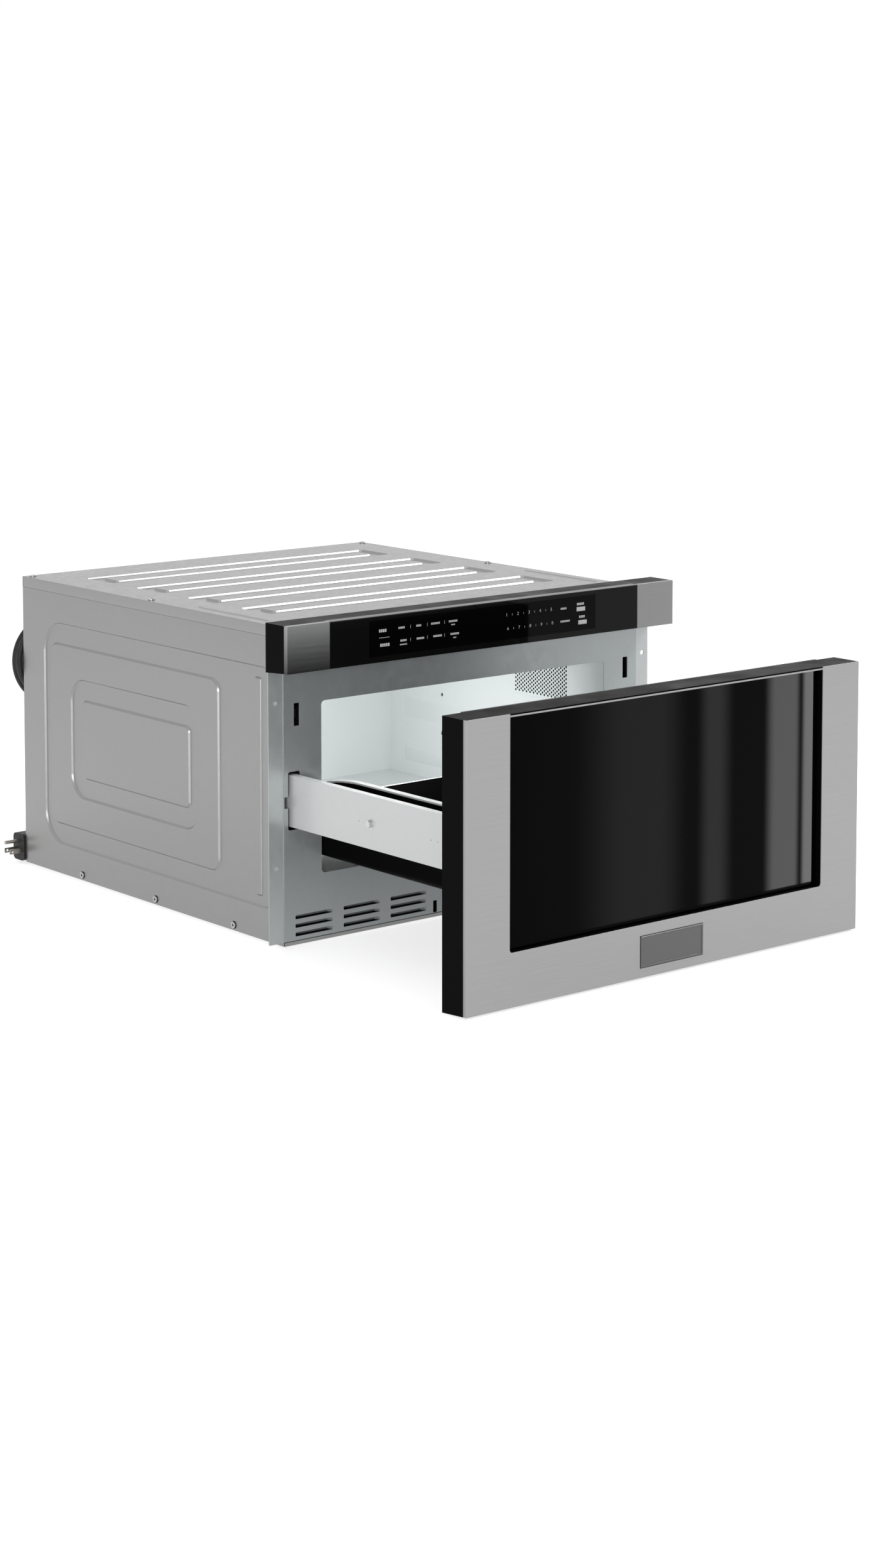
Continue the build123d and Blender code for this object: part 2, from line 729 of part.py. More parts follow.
# ---------------------------------------------------------------- power supply, cooling and lamp
board_y = cavity_rear_face + (rear_inside - cavity_rear_face - inverter_depth) / 2
board_z = sheet + inverter_standoff
with BuildPart() as inverter_board:
    board_x = (inverter_x - inverter_width / 2, inverter_x + inverter_width / 2)
    block(board_x, (board_y, board_y + inverter_depth), (board_z, board_z + board_thickness))
    inset = standoff_inset
    with BuildSketch(Plane.XY.offset(sheet)):
        with Locations((inverter_x, board_y + inverter_depth / 2)):
            with GridLocations(inverter_width - 2 * inset, inverter_depth - 2 * inset, 2, 2):
                Circle(standoff_d / 2)
    extrude(amount=inverter_standoff)
    board_top = board_z + board_thickness
    sink_x = board_x[0] + inset
    sink_y = board_y + inset
    sink_z = (board_top, board_top + sink_height)
    block((sink_x, sink_x + sink_width), (sink_y, sink_y + sink_fin), sink_z)
    for fin in range(sink_fins):
        fin_x = sink_x + fin * (sink_width - sink_fin) / (sink_fins - 1)
        block((fin_x, fin_x + sink_fin), (sink_y, sink_y + sink_depth), sink_z)
    for count in range(2):
        can_start = (inverter_x + can_offset + count * can_pitch, board_y + inverter_depth / 2, board_top)
        rod(can_start, (0, 0, 1), can_d, can_height)
inverter_board.part.label = "inverter_board"
export_step(inverter_board.part, "parts/inverter_board.step")

with BuildPart() as inverter_transformer:
    core_x = inverter_x + transformer_offset
    core_y = board_y + inverter_depth / 2
    half_core = transformer_core / 2
    core_limits_x = (core_x - half_core, core_x + half_core)
    core_limits_y = (core_y - half_core, core_y + half_core)
    block(core_limits_x, core_limits_y, (board_top, board_top + transformer_height))
    winding_z = board_top + (transformer_height - winding_height) / 2
    rod((core_x, core_y, winding_z), (0, 0, 1), winding_d, winding_height)
inverter_transformer.part.label = "inverter_transformer"
export_step(inverter_transformer.part, "parts/inverter_transformer.step")

fan_front = rear_inside - fan_frame_depth
with BuildPart() as blower_housing:
    reach = fan_frame / 2
    block((fan_x - reach, fan_x + reach), (fan_front, rear_inside), (fan_z - reach, fan_z + reach))
    rod((fan_x, fan_front, fan_z), (0, 1, 0), fan_bore, fan_frame_depth, Mode.SUBTRACT)
    bar = fan_spoke_width / 2
    block((fan_x - reach, fan_x + reach), (fan_front, fan_front + fan_spoke), (fan_z - bar, fan_z + bar))
    block((fan_x - bar, fan_x + bar), (fan_front, fan_front + fan_spoke), (fan_z - reach, fan_z + reach))
    rod((fan_x, fan_front, fan_z), (0, 1, 0), fan_hub_d, fan_spoke)
blower_housing.part.label = "blower_housing"
export_step(blower_housing.part, "parts/blower_housing.step")

with BuildPart() as fan_motor:
    motor_front = fan_front + fan_spoke
    rod((fan_x, motor_front, fan_z), (0, 1, 0), fan_hub_d, fan_motor_depth)
    bore_d = fan_shaft_d + 2 * shaft_gap
    bore_start = (fan_x, motor_front + fan_motor_depth, fan_z)
    rod(bore_start, (0, -1, 0), bore_d, fan_motor_depth - bore_end_gap / 2, Mode.SUBTRACT)
fan_motor.part.label = "fan_motor"
export_step(fan_motor.part, "parts/fan_motor.step")

with BuildPart() as fan_wheel:
    hub_y = motor_front + fan_motor_depth + fan_gap
    rod((fan_x, hub_y, fan_z), (0, 1, 0), fan_hub_d, fan_hub_depth)
    rod((fan_x, hub_y, fan_z), (0, -1, 0), fan_shaft_d, fan_motor_depth - bore_end_gap)
    hub_r = fan_hub_d / 2
    vane_reach = fan_blade_r - hub_r + fan_blade_root
    vane_middle = fan_blade_r - vane_reach / 2
    for blade in range(fan_blades):
        with Locations(Location((fan_x, hub_y + fan_hub_depth / 2, fan_z), (0, blade * 360 / fan_blades, 0))):
            with Locations(Location((vane_middle, 0, 0), (fan_blade_tilt, 0, 0))):
                Box(vane_reach, fan_blade_chord, fan_blade_sheet)
fan_wheel.part.label = "fan_wheel"
export_step(fan_wheel.part, "parts/fan_wheel.step")

with BuildPart() as cavity_lamp:
    lamp_y = vent_y + vent_width / 2
    lamp_z = vent_z + vent_height / 2
    rod((cavity_outer_x, lamp_y, lamp_z), (1, 0, 0), lamp_d, lamp_length)
    socket_x = cavity_outer_x + lamp_length
    half_socket = lamp_socket / 2
    socket_y = (lamp_y - half_socket, lamp_y + half_socket)
    socket_z = (lamp_z - half_socket, lamp_z + half_socket)
    block((socket_x, socket_x + lamp_socket_depth), socket_y, socket_z)
cavity_lamp.part.label = "cavity_lamp"
export_step(cavity_lamp.part, "parts/cavity_lamp.step")

with BuildPart() as noise_filter:
    filter_x = (gland_x - filter_width / 2, gland_x + filter_width / 2)
    filter_top = gland_z - gland_neck_d
    filter_back = rear_inside - board_thickness
    block(filter_x, (filter_back, rear_inside), (filter_top - filter_height, filter_top))
    core_z = filter_top - filter_height / 2
    core_start = (gland_x - filter_core_d / 2, filter_back, core_z)
    rod(core_start, (0, -1, 0), filter_core_d, filter_depth)
    can_x = gland_x + filter_core_d / 2
    can_z = (core_z - filter_can / 2, core_z + filter_can / 2)
    block((can_x, can_x + filter_can), (filter_back - filter_depth, filter_back), can_z)
noise_filter.part.label = "noise_filter"
export_step(noise_filter.part, "parts/noise_filter.step")

# ---------------------------------------------------------------- control housing above the door
with BuildPart() as control_housing:
    rim_front = trim_front + cap_depth
    side_profile(trim_bottom, trim_bottom + trim_taper, trim_top, trim_top, front_y, rim_front, door_x)
    inner_x = door_x - trim_wall
    inner_z = (trim_bottom + trim_taper + trim_wall, trim_top - trim_wall)
    block((-inner_x, inner_x), (rim_front, front_y - trim_wall), inner_z, Mode.SUBTRACT)
    return_y = (rim_front, trim_front + panel_return)
    block((-window_x, window_x), return_y, (trim_bottom, trim_top), Mode.SUBTRACT)
    for name, side in sides:
        rib_x = (side * window_x, side * (window_x + trim_wall))
        block(rib_x, (rim_front, rim_front + rib_depth), inner_z)
        post_x = side * (board_length / 2 - post_inset)
        rod((post_x, front_y - trim_wall, (inner_z[0] + inner_z[1]) / 2), (0, -1, 0), post_d, board_standoff)
control_housing.part.label = "control_housing"
export_step(control_housing.part, "parts/control_housing.step")

with BuildPart() as control_glass:
    reach_x = window_x - glass_gap
    panel_y = (trim_front, trim_front + panel_return)
    block((-reach_x, reach_x), panel_y, (trim_bottom + trim_taper, trim_top))
    chamfer(control_glass.edges().filter_by(Axis.X).group_by(Axis.Y)[0], glass_bevel)
    panel_inside_y = (trim_front + glass_thickness, panel_y[1])
    block((-reach_x, reach_x), panel_inside_y, inner_z, Mode.SUBTRACT)
control_glass.part.label = "control_glass"
export_step(control_glass.part, "parts/control_glass.step")

for name, side in sides:
    with BuildPart() as end_cap:
        cap_x = (side * window_x, side * door_x)
        cap_z = (trim_bottom + trim_taper, trim_top)
        block(cap_x, (trim_front, rim_front), cap_z)
        cap_inside_x = (side * (window_x + cap_thickness), side * (door_x - cap_thickness))
        cap_inside_z = (cap_z[0] + cap_thickness, cap_z[1] - cap_thickness)
        block(cap_inside_x, (trim_front + cap_thickness, rim_front), cap_inside_z, Mode.SUBTRACT)
        front_edges = end_cap.edges().filter_by(Axis.Z).group_by(Axis.Y)[0].sort_by(Axis.X)
        fillet(front_edges[0 if side < 0 else -1], cap_round)
    end_cap.part.label = f"end_cap_{name}"
    export_step(end_cap.part, f"parts/end_cap_{name}.step")

with BuildPart() as control_board:
    board_y = front_y - trim_wall - board_standoff
    board_middle = (trim_bottom + trim_taper + trim_top) / 2
    board_half = board_height / 2
    board_z = (board_middle - board_half, board_middle + board_half)
    block((-board_length / 2, board_length / 2), (board_y - board_thickness, board_y), board_z)
    display_y = (trim_front + glass_thickness + glass_gap, board_y - board_thickness)
    display_z = (board_middle - display_height / 2, board_middle + display_height / 2)
    block((-display_width / 2, display_width / 2), display_y, display_z)
control_board.part.label = "control_board"
export_step(control_board.part, "parts/control_board.step")

# ---------------------------------------------------------------- telescopic slides
outer_web = slide_x - slide_depth
mid_web = outer_web + slide_sheet + slide_gap
inner_tip = mid_web + slide_sheet + slide_gap
lip_tip = slide_x - slide_sheet - slide_gap
member_step = slide_sheet + slide_gap
slide_members = (
    ("slide_outer", 0, outer_web, outer_web, lip_tip, slide_start),
    ("slide_mid", 1, mid_web, mid_web, lip_tip, slide_start - drawer_travel / 2),
    ("slide_inner", 2, slide_x - slide_sheet, inner_tip, slide_x, slide_start - drawer_travel),
)
for name, side in sides:
    for member, nest, web_x, low_x, high_x, start_y in slide_members:
        with BuildPart() as slide_member:
            reach = slide_height / 2 - nest * member_step
            span_y = (start_y, start_y + slide_length)
            block((side * low_x, side * high_x), span_y, (slide_z - reach, slide_z + reach))
            inner_z = (slide_z - reach + slide_sheet, slide_z + reach - slide_sheet)
            if web_x == low_x:
                hollow_x = (side * (low_x + slide_sheet), side * high_x)
            else:
                hollow_x = (side * low_x, side * web_x)
            block(hollow_x, span_y, inner_z, Mode.SUBTRACT)
            if nest == 0:
                for place in slide_bracket_places:
                    bracket_y = (start_y + place, start_y + place + slide_bracket_length)
                    tab_z = (slide_z - slide_bracket_height / 2, slide_z + slide_bracket_height / 2)
                    foot_x = (side * cavity_outer_x, side * (cavity_outer_x + bracket_sheet))
                    block(foot_x, bracket_y, tab_z)
                    shelf_x = (side * cavity_outer_x, side * outer_web)
                    block(shelf_x, bracket_y, (tab_z[0], tab_z[0] + bracket_sheet))
            if nest == 2:
                for place in plate_screw_places:
                    start = (side * slide_x, panel_back + place, plate_screw_z)
                    hole_d = screw_shank_d + 2 * screw_hole_gap
                    rod(start, (-side, 0, 0), hole_d, slide_sheet, Mode.SUBTRACT)
        slide_member.part.label = f"{member}_{name}"
        export_step(slide_member.part, f"parts/{member}_{name}.step")

# ================================================================ drawer
with BuildPart() as door_frame:
    skin_back = door_front + skin_thickness
    glass_back = door_front + glass_recess + glass_thickness
    web_back = glass_back + door_wall
    skin_low = door_bottom + door_bottom_taper
    side_profile(door_bottom, skin_low, door_top, door_top, frame_back, skin_back, door_x)
    for name, side in sides:
        wrap_x = (side * (door_x - skin_thickness), side * door_x)
        block(wrap_x, (skin_back, door_front + door_wrap), (door_bottom, door_top), Mode.SUBTRACT)
    hollow_x = door_x - skin_thickness - door_wall
    hollow_z = (door_bottom + door_bottom_taper + door_wall, door_top - door_wall)
    block((-hollow_x, hollow_x), (skin_back + door_wall, frame_back - door_wall), hollow_z, Mode.SUBTRACT)
    surround_x = window_x + door_wall
    block((-surround_x, surround_x), (skin_back, web_back), (window_low - door_wall, door_top))
    with BuildSketch(Plane(origin=(0, skin_back, 0), x_dir=(1, 0, 0), z_dir=(0, -1, 0))) as recess:
        outline((-window_x, window_x, window_low, window_high, glass_corner))
    extrude(recess.sketch, amount=skin_back - glass_back, mode=Mode.SUBTRACT)
    sight_x = window_x - glass_lap
    sight_z = (window_low + glass_lap, window_high - glass_lap)
    block((-sight_x, sight_x), (skin_back, web_back), sight_z, Mode.SUBTRACT)
    back_x = half - inner_panel_inset - glass_lap
    back_z = (door_bottom + inner_panel_margin + glass_lap, door_top - door_wall - glass_lap)
    block((-back_x, back_x), (frame_back - door_wall, frame_back), back_z, Mode.SUBTRACT)
door_frame.part.label = "door_frame"
export_step(door_frame.part, "parts/door_frame.step")

with BuildPart() as door_skin:
    skin_z = (door_bottom + door_bottom_taper, door_top)
    block((-door_x, door_x), (door_front, skin_back), skin_z)
    for name, side in sides:
        block((side * (door_x - skin_thickness), side * door_x), (door_front, door_front + door_wrap), skin_z)
    with BuildSketch(Plane(origin=(0, door_front, 0), x_dir=(1, 0, 0), z_dir=(0, -1, 0))):
        outline((-window_x, window_x, window_low, door_top + glass_corner * 2, glass_corner))
    extrude(amount=-skin_thickness, mode=Mode.SUBTRACT)
    block((-window_x, window_x), (door_front, skin_back), (window_high, window_high + glass_strip))
    outer_edges = door_skin.edges().filter_by(Axis.Z).group_by(Axis.Y)[0].sort_by(Axis.X)
    fillet((outer_edges[0], outer_edges[-1]), cap_round)
door_skin.part.label = "door_skin"
export_step(door_skin.part, "parts/door_skin.step")

with BuildPart() as door_glass:
    glass_y = door_front + glass_recess
    with BuildSketch(Plane(origin=(0, glass_y, 0), x_dir=(1, 0, 0), z_dir=(0, -1, 0))):
        reach_x = window_x - glass_gap
        outline((-reach_x, reach_x, window_low + glass_gap, window_high - glass_gap, glass_corner))
    extrude(amount=-glass_thickness)
    chamfer(door_glass.faces().sort_by(Axis.Y)[0].edges(), glass_bevel)
door_glass.part.label = "door_glass"
export_step(door_glass.part, "parts/door_glass.step")

with BuildPart() as badge_plate:
    badge_x = badge_width / 2
    badge_z = (badge_bottom, badge_bottom + badge_height)
    block((-badge_x, badge_x), (door_front - badge_thickness, door_front), badge_z)
    chamfer(badge_plate.faces().sort_by(Axis.Y)[0].edges(), badge_bevel)
    inset_x = badge_x - badge_frame
    inset_z = (badge_bottom + badge_frame, badge_bottom + badge_height - badge_frame)
    face_y = (door_front - badge_thickness, door_front - badge_thickness + badge_bevel)
    block((-inset_x, inset_x), face_y, inset_z, Mode.SUBTRACT)
badge_plate.part.label = "badge_plate"
export_step(badge_plate.part, "parts/badge_plate.step")

with BuildPart() as door_inner_panel:
    panel_x = half - inner_panel_inset
    panel_z = (door_bottom + inner_panel_margin, door_top)
    block((-panel_x, panel_x), (frame_back, panel_back), panel_z)
    inner_x = panel_x - bracket_sheet
    inner_z = (panel_z[0] + bracket_sheet, panel_z[1] - bracket_sheet)
    block((-inner_x, inner_x), (frame_back, panel_back - bracket_sheet), inner_z, Mode.SUBTRACT)
door_inner_panel.part.label = "door_inner_panel"
export_step(door_inner_panel.part, "parts/door_inner_panel.step")

with BuildPart() as choke_cover:
    ring_x = cavity_x + choke_side_lap
    choke_low = opening_bottom - choke_low_lap
    choke_high = opening_top + choke_high_lap
    block((-ring_x, ring_x), (panel_back, choke_back), (choke_low, choke_high))
    inner_x = pan_x + choke_margin
    inner_z = (choke_low + choke_band, choke_high - choke_band)
    block((-inner_x, inner_x), (panel_back, choke_back), inner_z, Mode.SUBTRACT)
choke_cover.part.label = "choke_cover"
export_step(choke_cover.part, "parts/choke_cover.step")

with BuildPart() as latch_hooks:
    for name, side in sides:
        hook_x = (side * (latch_x - latch_thickness / 2), side * (latch_x + latch_thickness / 2))
        hook_y = (panel_back, panel_back + latch_reach)
        block(hook_x, hook_y, (latch_low, latch_low + latch_height))
        notch_y = (hook_y[1] - latch_tip - latch_notch, hook_y[1] - latch_tip)
        block(hook_x, notch_y, (latch_low, latch_low + latch_height / 3), Mode.SUBTRACT)
    chamfer(latch_hooks.edges().filter_by(Axis.X).group_by(Axis.Y)[-1], latch_bevel)
latch_hooks.part.label = "latch_hooks"
export_step(latch_hooks.part, "parts/latch_hooks.step")

with BuildPart() as door_bumpers:
    bumper_length = plate_back - closed_gap - drawer_travel - frame_back
    bumper_z = door_top - bumper_drop
    for name, side in sides:
        bumper_x = side * (door_x - bumper_inset - bumper_d / 2)
        rod((bumper_x, frame_back, bumper_z), (0, 1, 0), bumper_d, bumper_length - bumper_tip)
        tip_start = Plane(origin=(bumper_x, frame_back + bumper_length - bumper_tip, bumper_z), z_dir=(0, 1, 0))
        with BuildSketch(tip_start) as wide:
            Circle(bumper_d / 2)
        with BuildSketch(tip_start.offset(bumper_tip)) as narrow:
            Circle(bumper_tip_d / 2)
        loft([wide.sketch, narrow.sketch])
door_bumpers.part.label = "door_bumpers"
export_step(door_bumpers.part, "parts/door_bumpers.step")

pan_rear = panel_back + pan_length
wall_top = pan_top - pan_rim_thickness
rear_top = pan_rear_top - pan_rim_thickness
shoulder_y = panel_back + pan_shoulder
with BuildPart() as drawer_pan:
    with BuildSketch(Plane.YZ):
        with BuildLine():
            Line((shoulder_y, wall_top), (panel_back, wall_top))
            Line((panel_back, wall_top), (panel_back, pan_bottom))
            Polyline((panel_back, pan_bottom), (pan_rear, pan_bottom), (pan_rear, rear_top))
            TangentArc((shoulder_y, wall_top), (pan_rear, rear_top), tangent=(1, 0))
        make_face()
    extrude(amount=pan_x, both=True)
    fillet(drawer_pan.edges().filter_by(Axis.Y).group_by(Axis.Z)[0], pan_corner)
    inner_corner = pan_corner - pan_wall
    with BuildSketch(Plane(origin=(0, panel_back + pan_wall, 0), x_dir=(1, 0, 0), z_dir=(0, -1, 0))):
        inner_x = pan_x - pan_wall
        outline((-inner_x, inner_x, pan_bottom + pan_wall, pan_top + 2 * pan_corner, inner_corner))
    extrude(amount=-(pan_length - 2 * pan_wall), mode=Mode.SUBTRACT)
drawer_pan.part.label = "drawer_pan"
export_step(drawer_pan.part, "parts/drawer_pan.step")

with BuildPart() as pan_rim_band:
    with BuildSketch(Plane.YZ):
        with BuildLine():
            Line((shoulder_y, pan_top), (panel_back, pan_top))
            Polyline((panel_back, pan_top), (panel_back, wall_top), (shoulder_y, wall_top))
            TangentArc((shoulder_y, wall_top), (pan_rear, rear_top), tangent=(1, 0))
            Line((pan_rear, rear_top), (pan_rear, pan_rear_top))
            TangentArc((shoulder_y, pan_top), (pan_rear, pan_rear_top), tangent=(1, 0))
        make_face()
    extrude(amount=pan_x, both=True)
    inner_x = pan_x - pan_rim
    block((-inner_x, inner_x), (panel_back, pan_rear - pan_rim), (rear_top - pan_rim, pan_top), Mode.SUBTRACT)
    block((-inner_x, inner_x), (pan_rear - pan_rim, pan_rear), (pan_rear_top, pan_top), Mode.SUBTRACT)
pan_rim_band.part.label = "pan_rim_band"
export_step(pan_rim_band.part, "parts/pan_rim_band.step")

with BuildPart() as glass_tray:
    tray_x = pan_x - pan_corner
    tray_y = (panel_back + pan_wall + tray_gap, pan_rear - pan_wall - tray_gap)
    tray_z = (pan_bottom + pan_wall, pan_bottom + pan_wall + tray_thickness)
    block((-tray_x, tray_x), tray_y, tray_z)
    fillet(glass_tray.edges().filter_by(Axis.Z), tray_corner)
glass_tray.part.label = "glass_tray"
export_step(glass_tray.part, "parts/glass_tray.step")

for name, side in sides:
    with BuildPart() as side_plate:
        plate_y = (panel_back, panel_back + side_plate_length)
        plate_top = side_plate_bottom + side_plate_height
        lip_x = side * (side_plate_outer - side_plate_flange)
        block((side * side_plate_outer, side * slide_x), plate_y, (side_plate_bottom, plate_top))
        block((side * slide_x, lip_x), plate_y, (side_plate_bottom, side_plate_bottom + side_plate_sheet))
        block((side * slide_x, lip_x), plate_y, (plate_top - side_plate_sheet, plate_top))
        for place in plate_screw_places:
            hole_d = screw_shank_d + 2 * screw_hole_gap
            start = (side * side_plate_outer, panel_back + place, plate_screw_z)
            rod(start, (-side, 0, 0), hole_d, side_plate_sheet, Mode.SUBTRACT)
        for place in pilot_hole_places:
            start = (side * side_plate_outer, panel_back + place, plate_screw_z)
            rod(start, (-side, 0, 0), pilot_hole_d, side_plate_sheet, Mode.SUBTRACT)
    side_plate.part.label = f"side_plate_{name}"
    export_step(side_plate.part, f"parts/side_plate_{name}.step")

# ---------------------------------------------------------------- rack and pinion
pitch_r = rack_module * pinion_teeth / 2
addendum = addendum_share * rack_module
dedendum = dedendum_share * rack_module
rack_z = side_plate_bottom + side_plate_sheet
rack_tip = side_plate_outer - side_plate_flange - slot_clearance + rack_slot_gap
pitch_x = rack_tip + addendum
rack_root = pitch_x + dedendum
pinion_x = pitch_x - pitch_r
pinion_y = plate_back + pinion_behind_plate
gearbox_top = side_plate_bottom - gearbox_gap
tooth_pitch = pi * rack_module
with BuildPart() as drawer_rack:
    rack_end = front_y + rack_rear_overhang
    teeth = int(rack_length / tooth_pitch)
    rack_y = (rack_end - rack_length, rack_end)
    block((rack_root, rack_root + rack_body), rack_y, (rack_z, rack_z + rack_height))
    half_tooth = tooth_pitch / 4 - tooth_backlash / 2
    tip = half_tooth - addendum * tan(radians(pressure_angle))
    root = half_tooth + dedendum * tan(radians(pressure_angle))
    last_tooth = int((rack_end - pinion_y) / tooth_pitch) - 0.5
    centres = [pinion_y + (last_tooth - count) * tooth_pitch for count in range(teeth)]
    with BuildSketch(Plane.XY.offset(rack_z)):
        for centre in centres:
            with BuildLine():
                Polyline(
                    (rack_root, centre - root),
                    (rack_tip, centre - tip),
                    (rack_tip, centre + tip),
                    (rack_root, centre + root),
                    close=True,
                )
            make_face()
    extrude(amount=rack_height)
drawer_rack.part.label = "drawer_rack"
export_step(drawer_rack.part, "parts/drawer_rack.step")


def involute_angle(radius):
    """Half the angle that a pinion tooth spans at the given radius."""
    base = pitch_r * cos(radians(pressure_angle))
    pressure = acos(min(1.0, base / radius))
    at_pitch = tan(radians(pressure_angle)) - radians(pressure_angle)
    half_at_pitch = pi / (2 * pinion_teeth) - tooth_backlash / (2 * pitch_r)
    return half_at_pitch + at_pitch - (tan(pressure) - pressure)


with BuildPart() as drive_pinion:
    root_r = pitch_r - dedendum
    outer_r = pitch_r + addendum
    base_r = pitch_r * cos(radians(pressure_angle))
    flank_radii = [base_r + (outer_r - base_r) * step / flank_steps for step in range(flank_steps + 1)]
    gear_z = rack_z + gear_side_gap
    with BuildSketch(Plane(origin=(pinion_x, pinion_y, gear_z), x_dir=(1, 0, 0), z_dir=(0, 0, 1))):
        Circle(root_r)
        for tooth in range(pinion_teeth):
            middle = 2 * pi * tooth / pinion_teeth
            flank = [(root_r - dedendum, involute_angle(base_r))]
            for radius in flank_radii:
                flank.append((radius, involute_angle(radius)))
            upper = [(r * cos(middle + spread), r * sin(middle + spread)) for r, spread in flank]
            lower = [(r * cos(middle - spread), r * sin(middle - spread)) for r, spread in flank]
            with BuildLine():
                Polyline(*upper, *reversed(lower), close=True)
            make_face()
    extrude(amount=rack_height - 2 * gear_side_gap)
    shaft_length = gear_z - gearbox_top + shaft_grip
    rod((pinion_x, pinion_y, gear_z), (0, 0, -1), pinion_shaft_d, shaft_length)
drive_pinion.part.label = "drive_pinion"
export_step(drive_pinion.part, "parts/drive_pinion.step")

with BuildPart() as drive_motor:
    gearbox_low = gearbox_top - gearbox_height
    rod((pinion_x, pinion_y, gearbox_top), (0, 0, -1), gearbox_d, gearbox_height)
    rod((pinion_x, pinion_y, gearbox_low), (0, 0, -1), motor_d, motor_height)
    tab_y = (pinion_y - gearbox_tab / 2, pinion_y + gearbox_tab / 2)
    block((cavity_outer_x, pinion_x), tab_y, (gearbox_low, gearbox_top))
    bore_d = pinion_shaft_d + 2 * shaft_gap
    rod((pinion_x, pinion_y, gearbox_top), (0, 0, -1), bore_d, shaft_grip + bore_end_gap, Mode.SUBTRACT)
drive_motor.part.label = "drive_motor"
export_step(drive_motor.part, "parts/drive_motor.step")

# ---------------------------------------------------------------- interlock switches behind the latch slots
lever_face = latch_x - latch_thickness / 2 - lever_gap
lever_z = (latch_low + lever_inset, latch_low + latch_height - lever_inset)
pivot_x = lever_face - lever_thickness - pivot_offset
pivot_y = plate_back + switch_front_gap + switch_depth
switch_face = lever_face - lever_travel
switch_low = latch_low + (latch_height - switch_height) / 2
with BuildPart() as interlock_switches:
    for name, side in sides:
        body_x = (side * switch_face, side * (switch_face - switch_width))
        body_y = (plate_back + switch_front_gap, pivot_y - switch_pivot_gap)
        block(body_x, body_y, (switch_low, switch_low + switch_height))
        body_rear = (body_y[1] - ear_reach, pivot_y + ear_reach)
        for ear_low in (switch_low, switch_low + switch_height - ear_thickness):
            ear_z = (ear_low, ear_low + ear_thickness)
            block((side * (pivot_x + ear_reach - 1), side * (switch_face - switch_width)), body_rear, ear_z)
        bore_d = pivot_d + 2 * shaft_gap
        rod((side * pivot_x, pivot_y, switch_low), (0, 0, 1), bore_d, switch_height, Mode.SUBTRACT)
interlock_switches.part.label = "interlock_switches"
export_step(interlock_switches.part, "parts/interlock_switches.step")

with BuildPart() as interlock_brackets:
    for name, side in sides:
        arm = switch_face - switch_width
        bracket_z = (switch_low - bracket_margin, switch_low + switch_height + bracket_margin)
        foot_x = (side * (arm - bracket_foot), side * (arm + bracket_toe))
        block(foot_x, (plate_back, plate_back + bracket_sheet), bracket_z)
        block((side * arm, side * (arm - bracket_sheet)), (plate_back, pivot_y + ear_reach), bracket_z)
interlock_brackets.part.label = "interlock_brackets"
export_step(interlock_brackets.part, "parts/interlock_brackets.step")

for name, side in sides:
    with BuildPart() as switch_lever:
        strip_x = (side * lever_face, side * (lever_face - lever_thickness))
        strip_y = (plate_back + switch_front_gap + lever_short, pivot_y)
        block(strip_x, strip_y, lever_z)
        barrel_r = lever_face - pivot_x
        rod((side * pivot_x, pivot_y, lever_z[0]), (0, 0, 1), 2 * barrel_r, lever_z[1] - lever_z[0])
        rod((side * pivot_x, pivot_y, switch_low), (0, 0, 1), pivot_d, switch_height)
    switch_lever.part.label = f"switch_lever_{name}"
    export_step(switch_lever.part, f"parts/switch_lever_{name}.step")

# ================================================================ screws
with BuildPart() as body_screws:
    places = []
    for name, side in sides:
        for place in top_screw_places:
            places.append(((side * (half - top_screw_inset), front_y + place, body_height), (0, 0, 1)))
        for place in side_screw_places:
            places.append(((side * half, front_y + place, side_screw_z), (side, 0, 0)))
        for height in rear_screw_heights:
            places.append(((side * (half - rear_screw_inset), rear_y, height), (0, 1, 0)))
    for start, way in places:
        inward = tuple(-value for value in way)
        rod(start, way, screw_head_d, screw_head)
        rod(start, inward, screw_shank_d, screw_shank)
body_screws.part.label = "body_screws"
export_step(body_screws.part, "parts/body_screws.step")

with BuildPart() as drawer_screws:
    for name, side in sides:
        for place in plate_screw_places:
            start = (side * side_plate_outer, panel_back + place, plate_screw_z)
            rod(start, (side, 0, 0), plate_washer_d, plate_washer)
            head_start = (side * (side_plate_outer + plate_washer), start[1], start[2])
            with BuildSketch(Plane(origin=head_start, z_dir=(side, 0, 0))):
                RegularPolygon(plate_screw_head_d / 2, 6)
            extrude(amount=plate_screw_head)
            rod(start, (-side, 0, 0), screw_shank_d, side_plate_sheet + slide_sheet)
drawer_screws.part.label = "drawer_screws"
export_step(drawer_screws.part, "parts/drawer_screws.step")

# ================================================================ supply cord, coiled behind the cabinet
cord_r = cord_d / 2
near_y = rear_y + cord_wall_gap + cord_r
far_y = near_y + cord_pitch
sleeve_low = gland_z - gland_hood_low - gland_sleeve
with BuildPart() as cord_gland:
    hood_x = (gland_x - gland_hood / 2, gland_x + gland_hood / 2)
    block(hood_x, (rear_y, far_y + gland_hood_back), (gland_z - gland_hood_low, gland_z + gland_hood_low))
    fillet(cord_gland.edges().filter_by(Axis.X).group_by(Axis.Y)[-1], gland_round)
    rod((gland_x, rear_y, gland_z), (0, -1, 0), gland_neck_d - 2 * screw_hole_gap, sheet)
    with BuildSketch(Plane.XY.offset(gland_z - gland_hood_low)) as sleeve_top:
        with Locations((gland_x, far_y)):
            Circle(gland_sleeve_d / 2)
    with BuildSketch(Plane.XY.offset(sleeve_low)) as sleeve_end:
        with Locations((gland_x, far_y)):
            Circle(cord_r + gland_sleeve_wall)
    loft([sleeve_top.sketch, sleeve_end.sketch])
cord_gland.part.label = "cord_gland"
export_step(cord_gland.part, "parts/cord_gland.step")

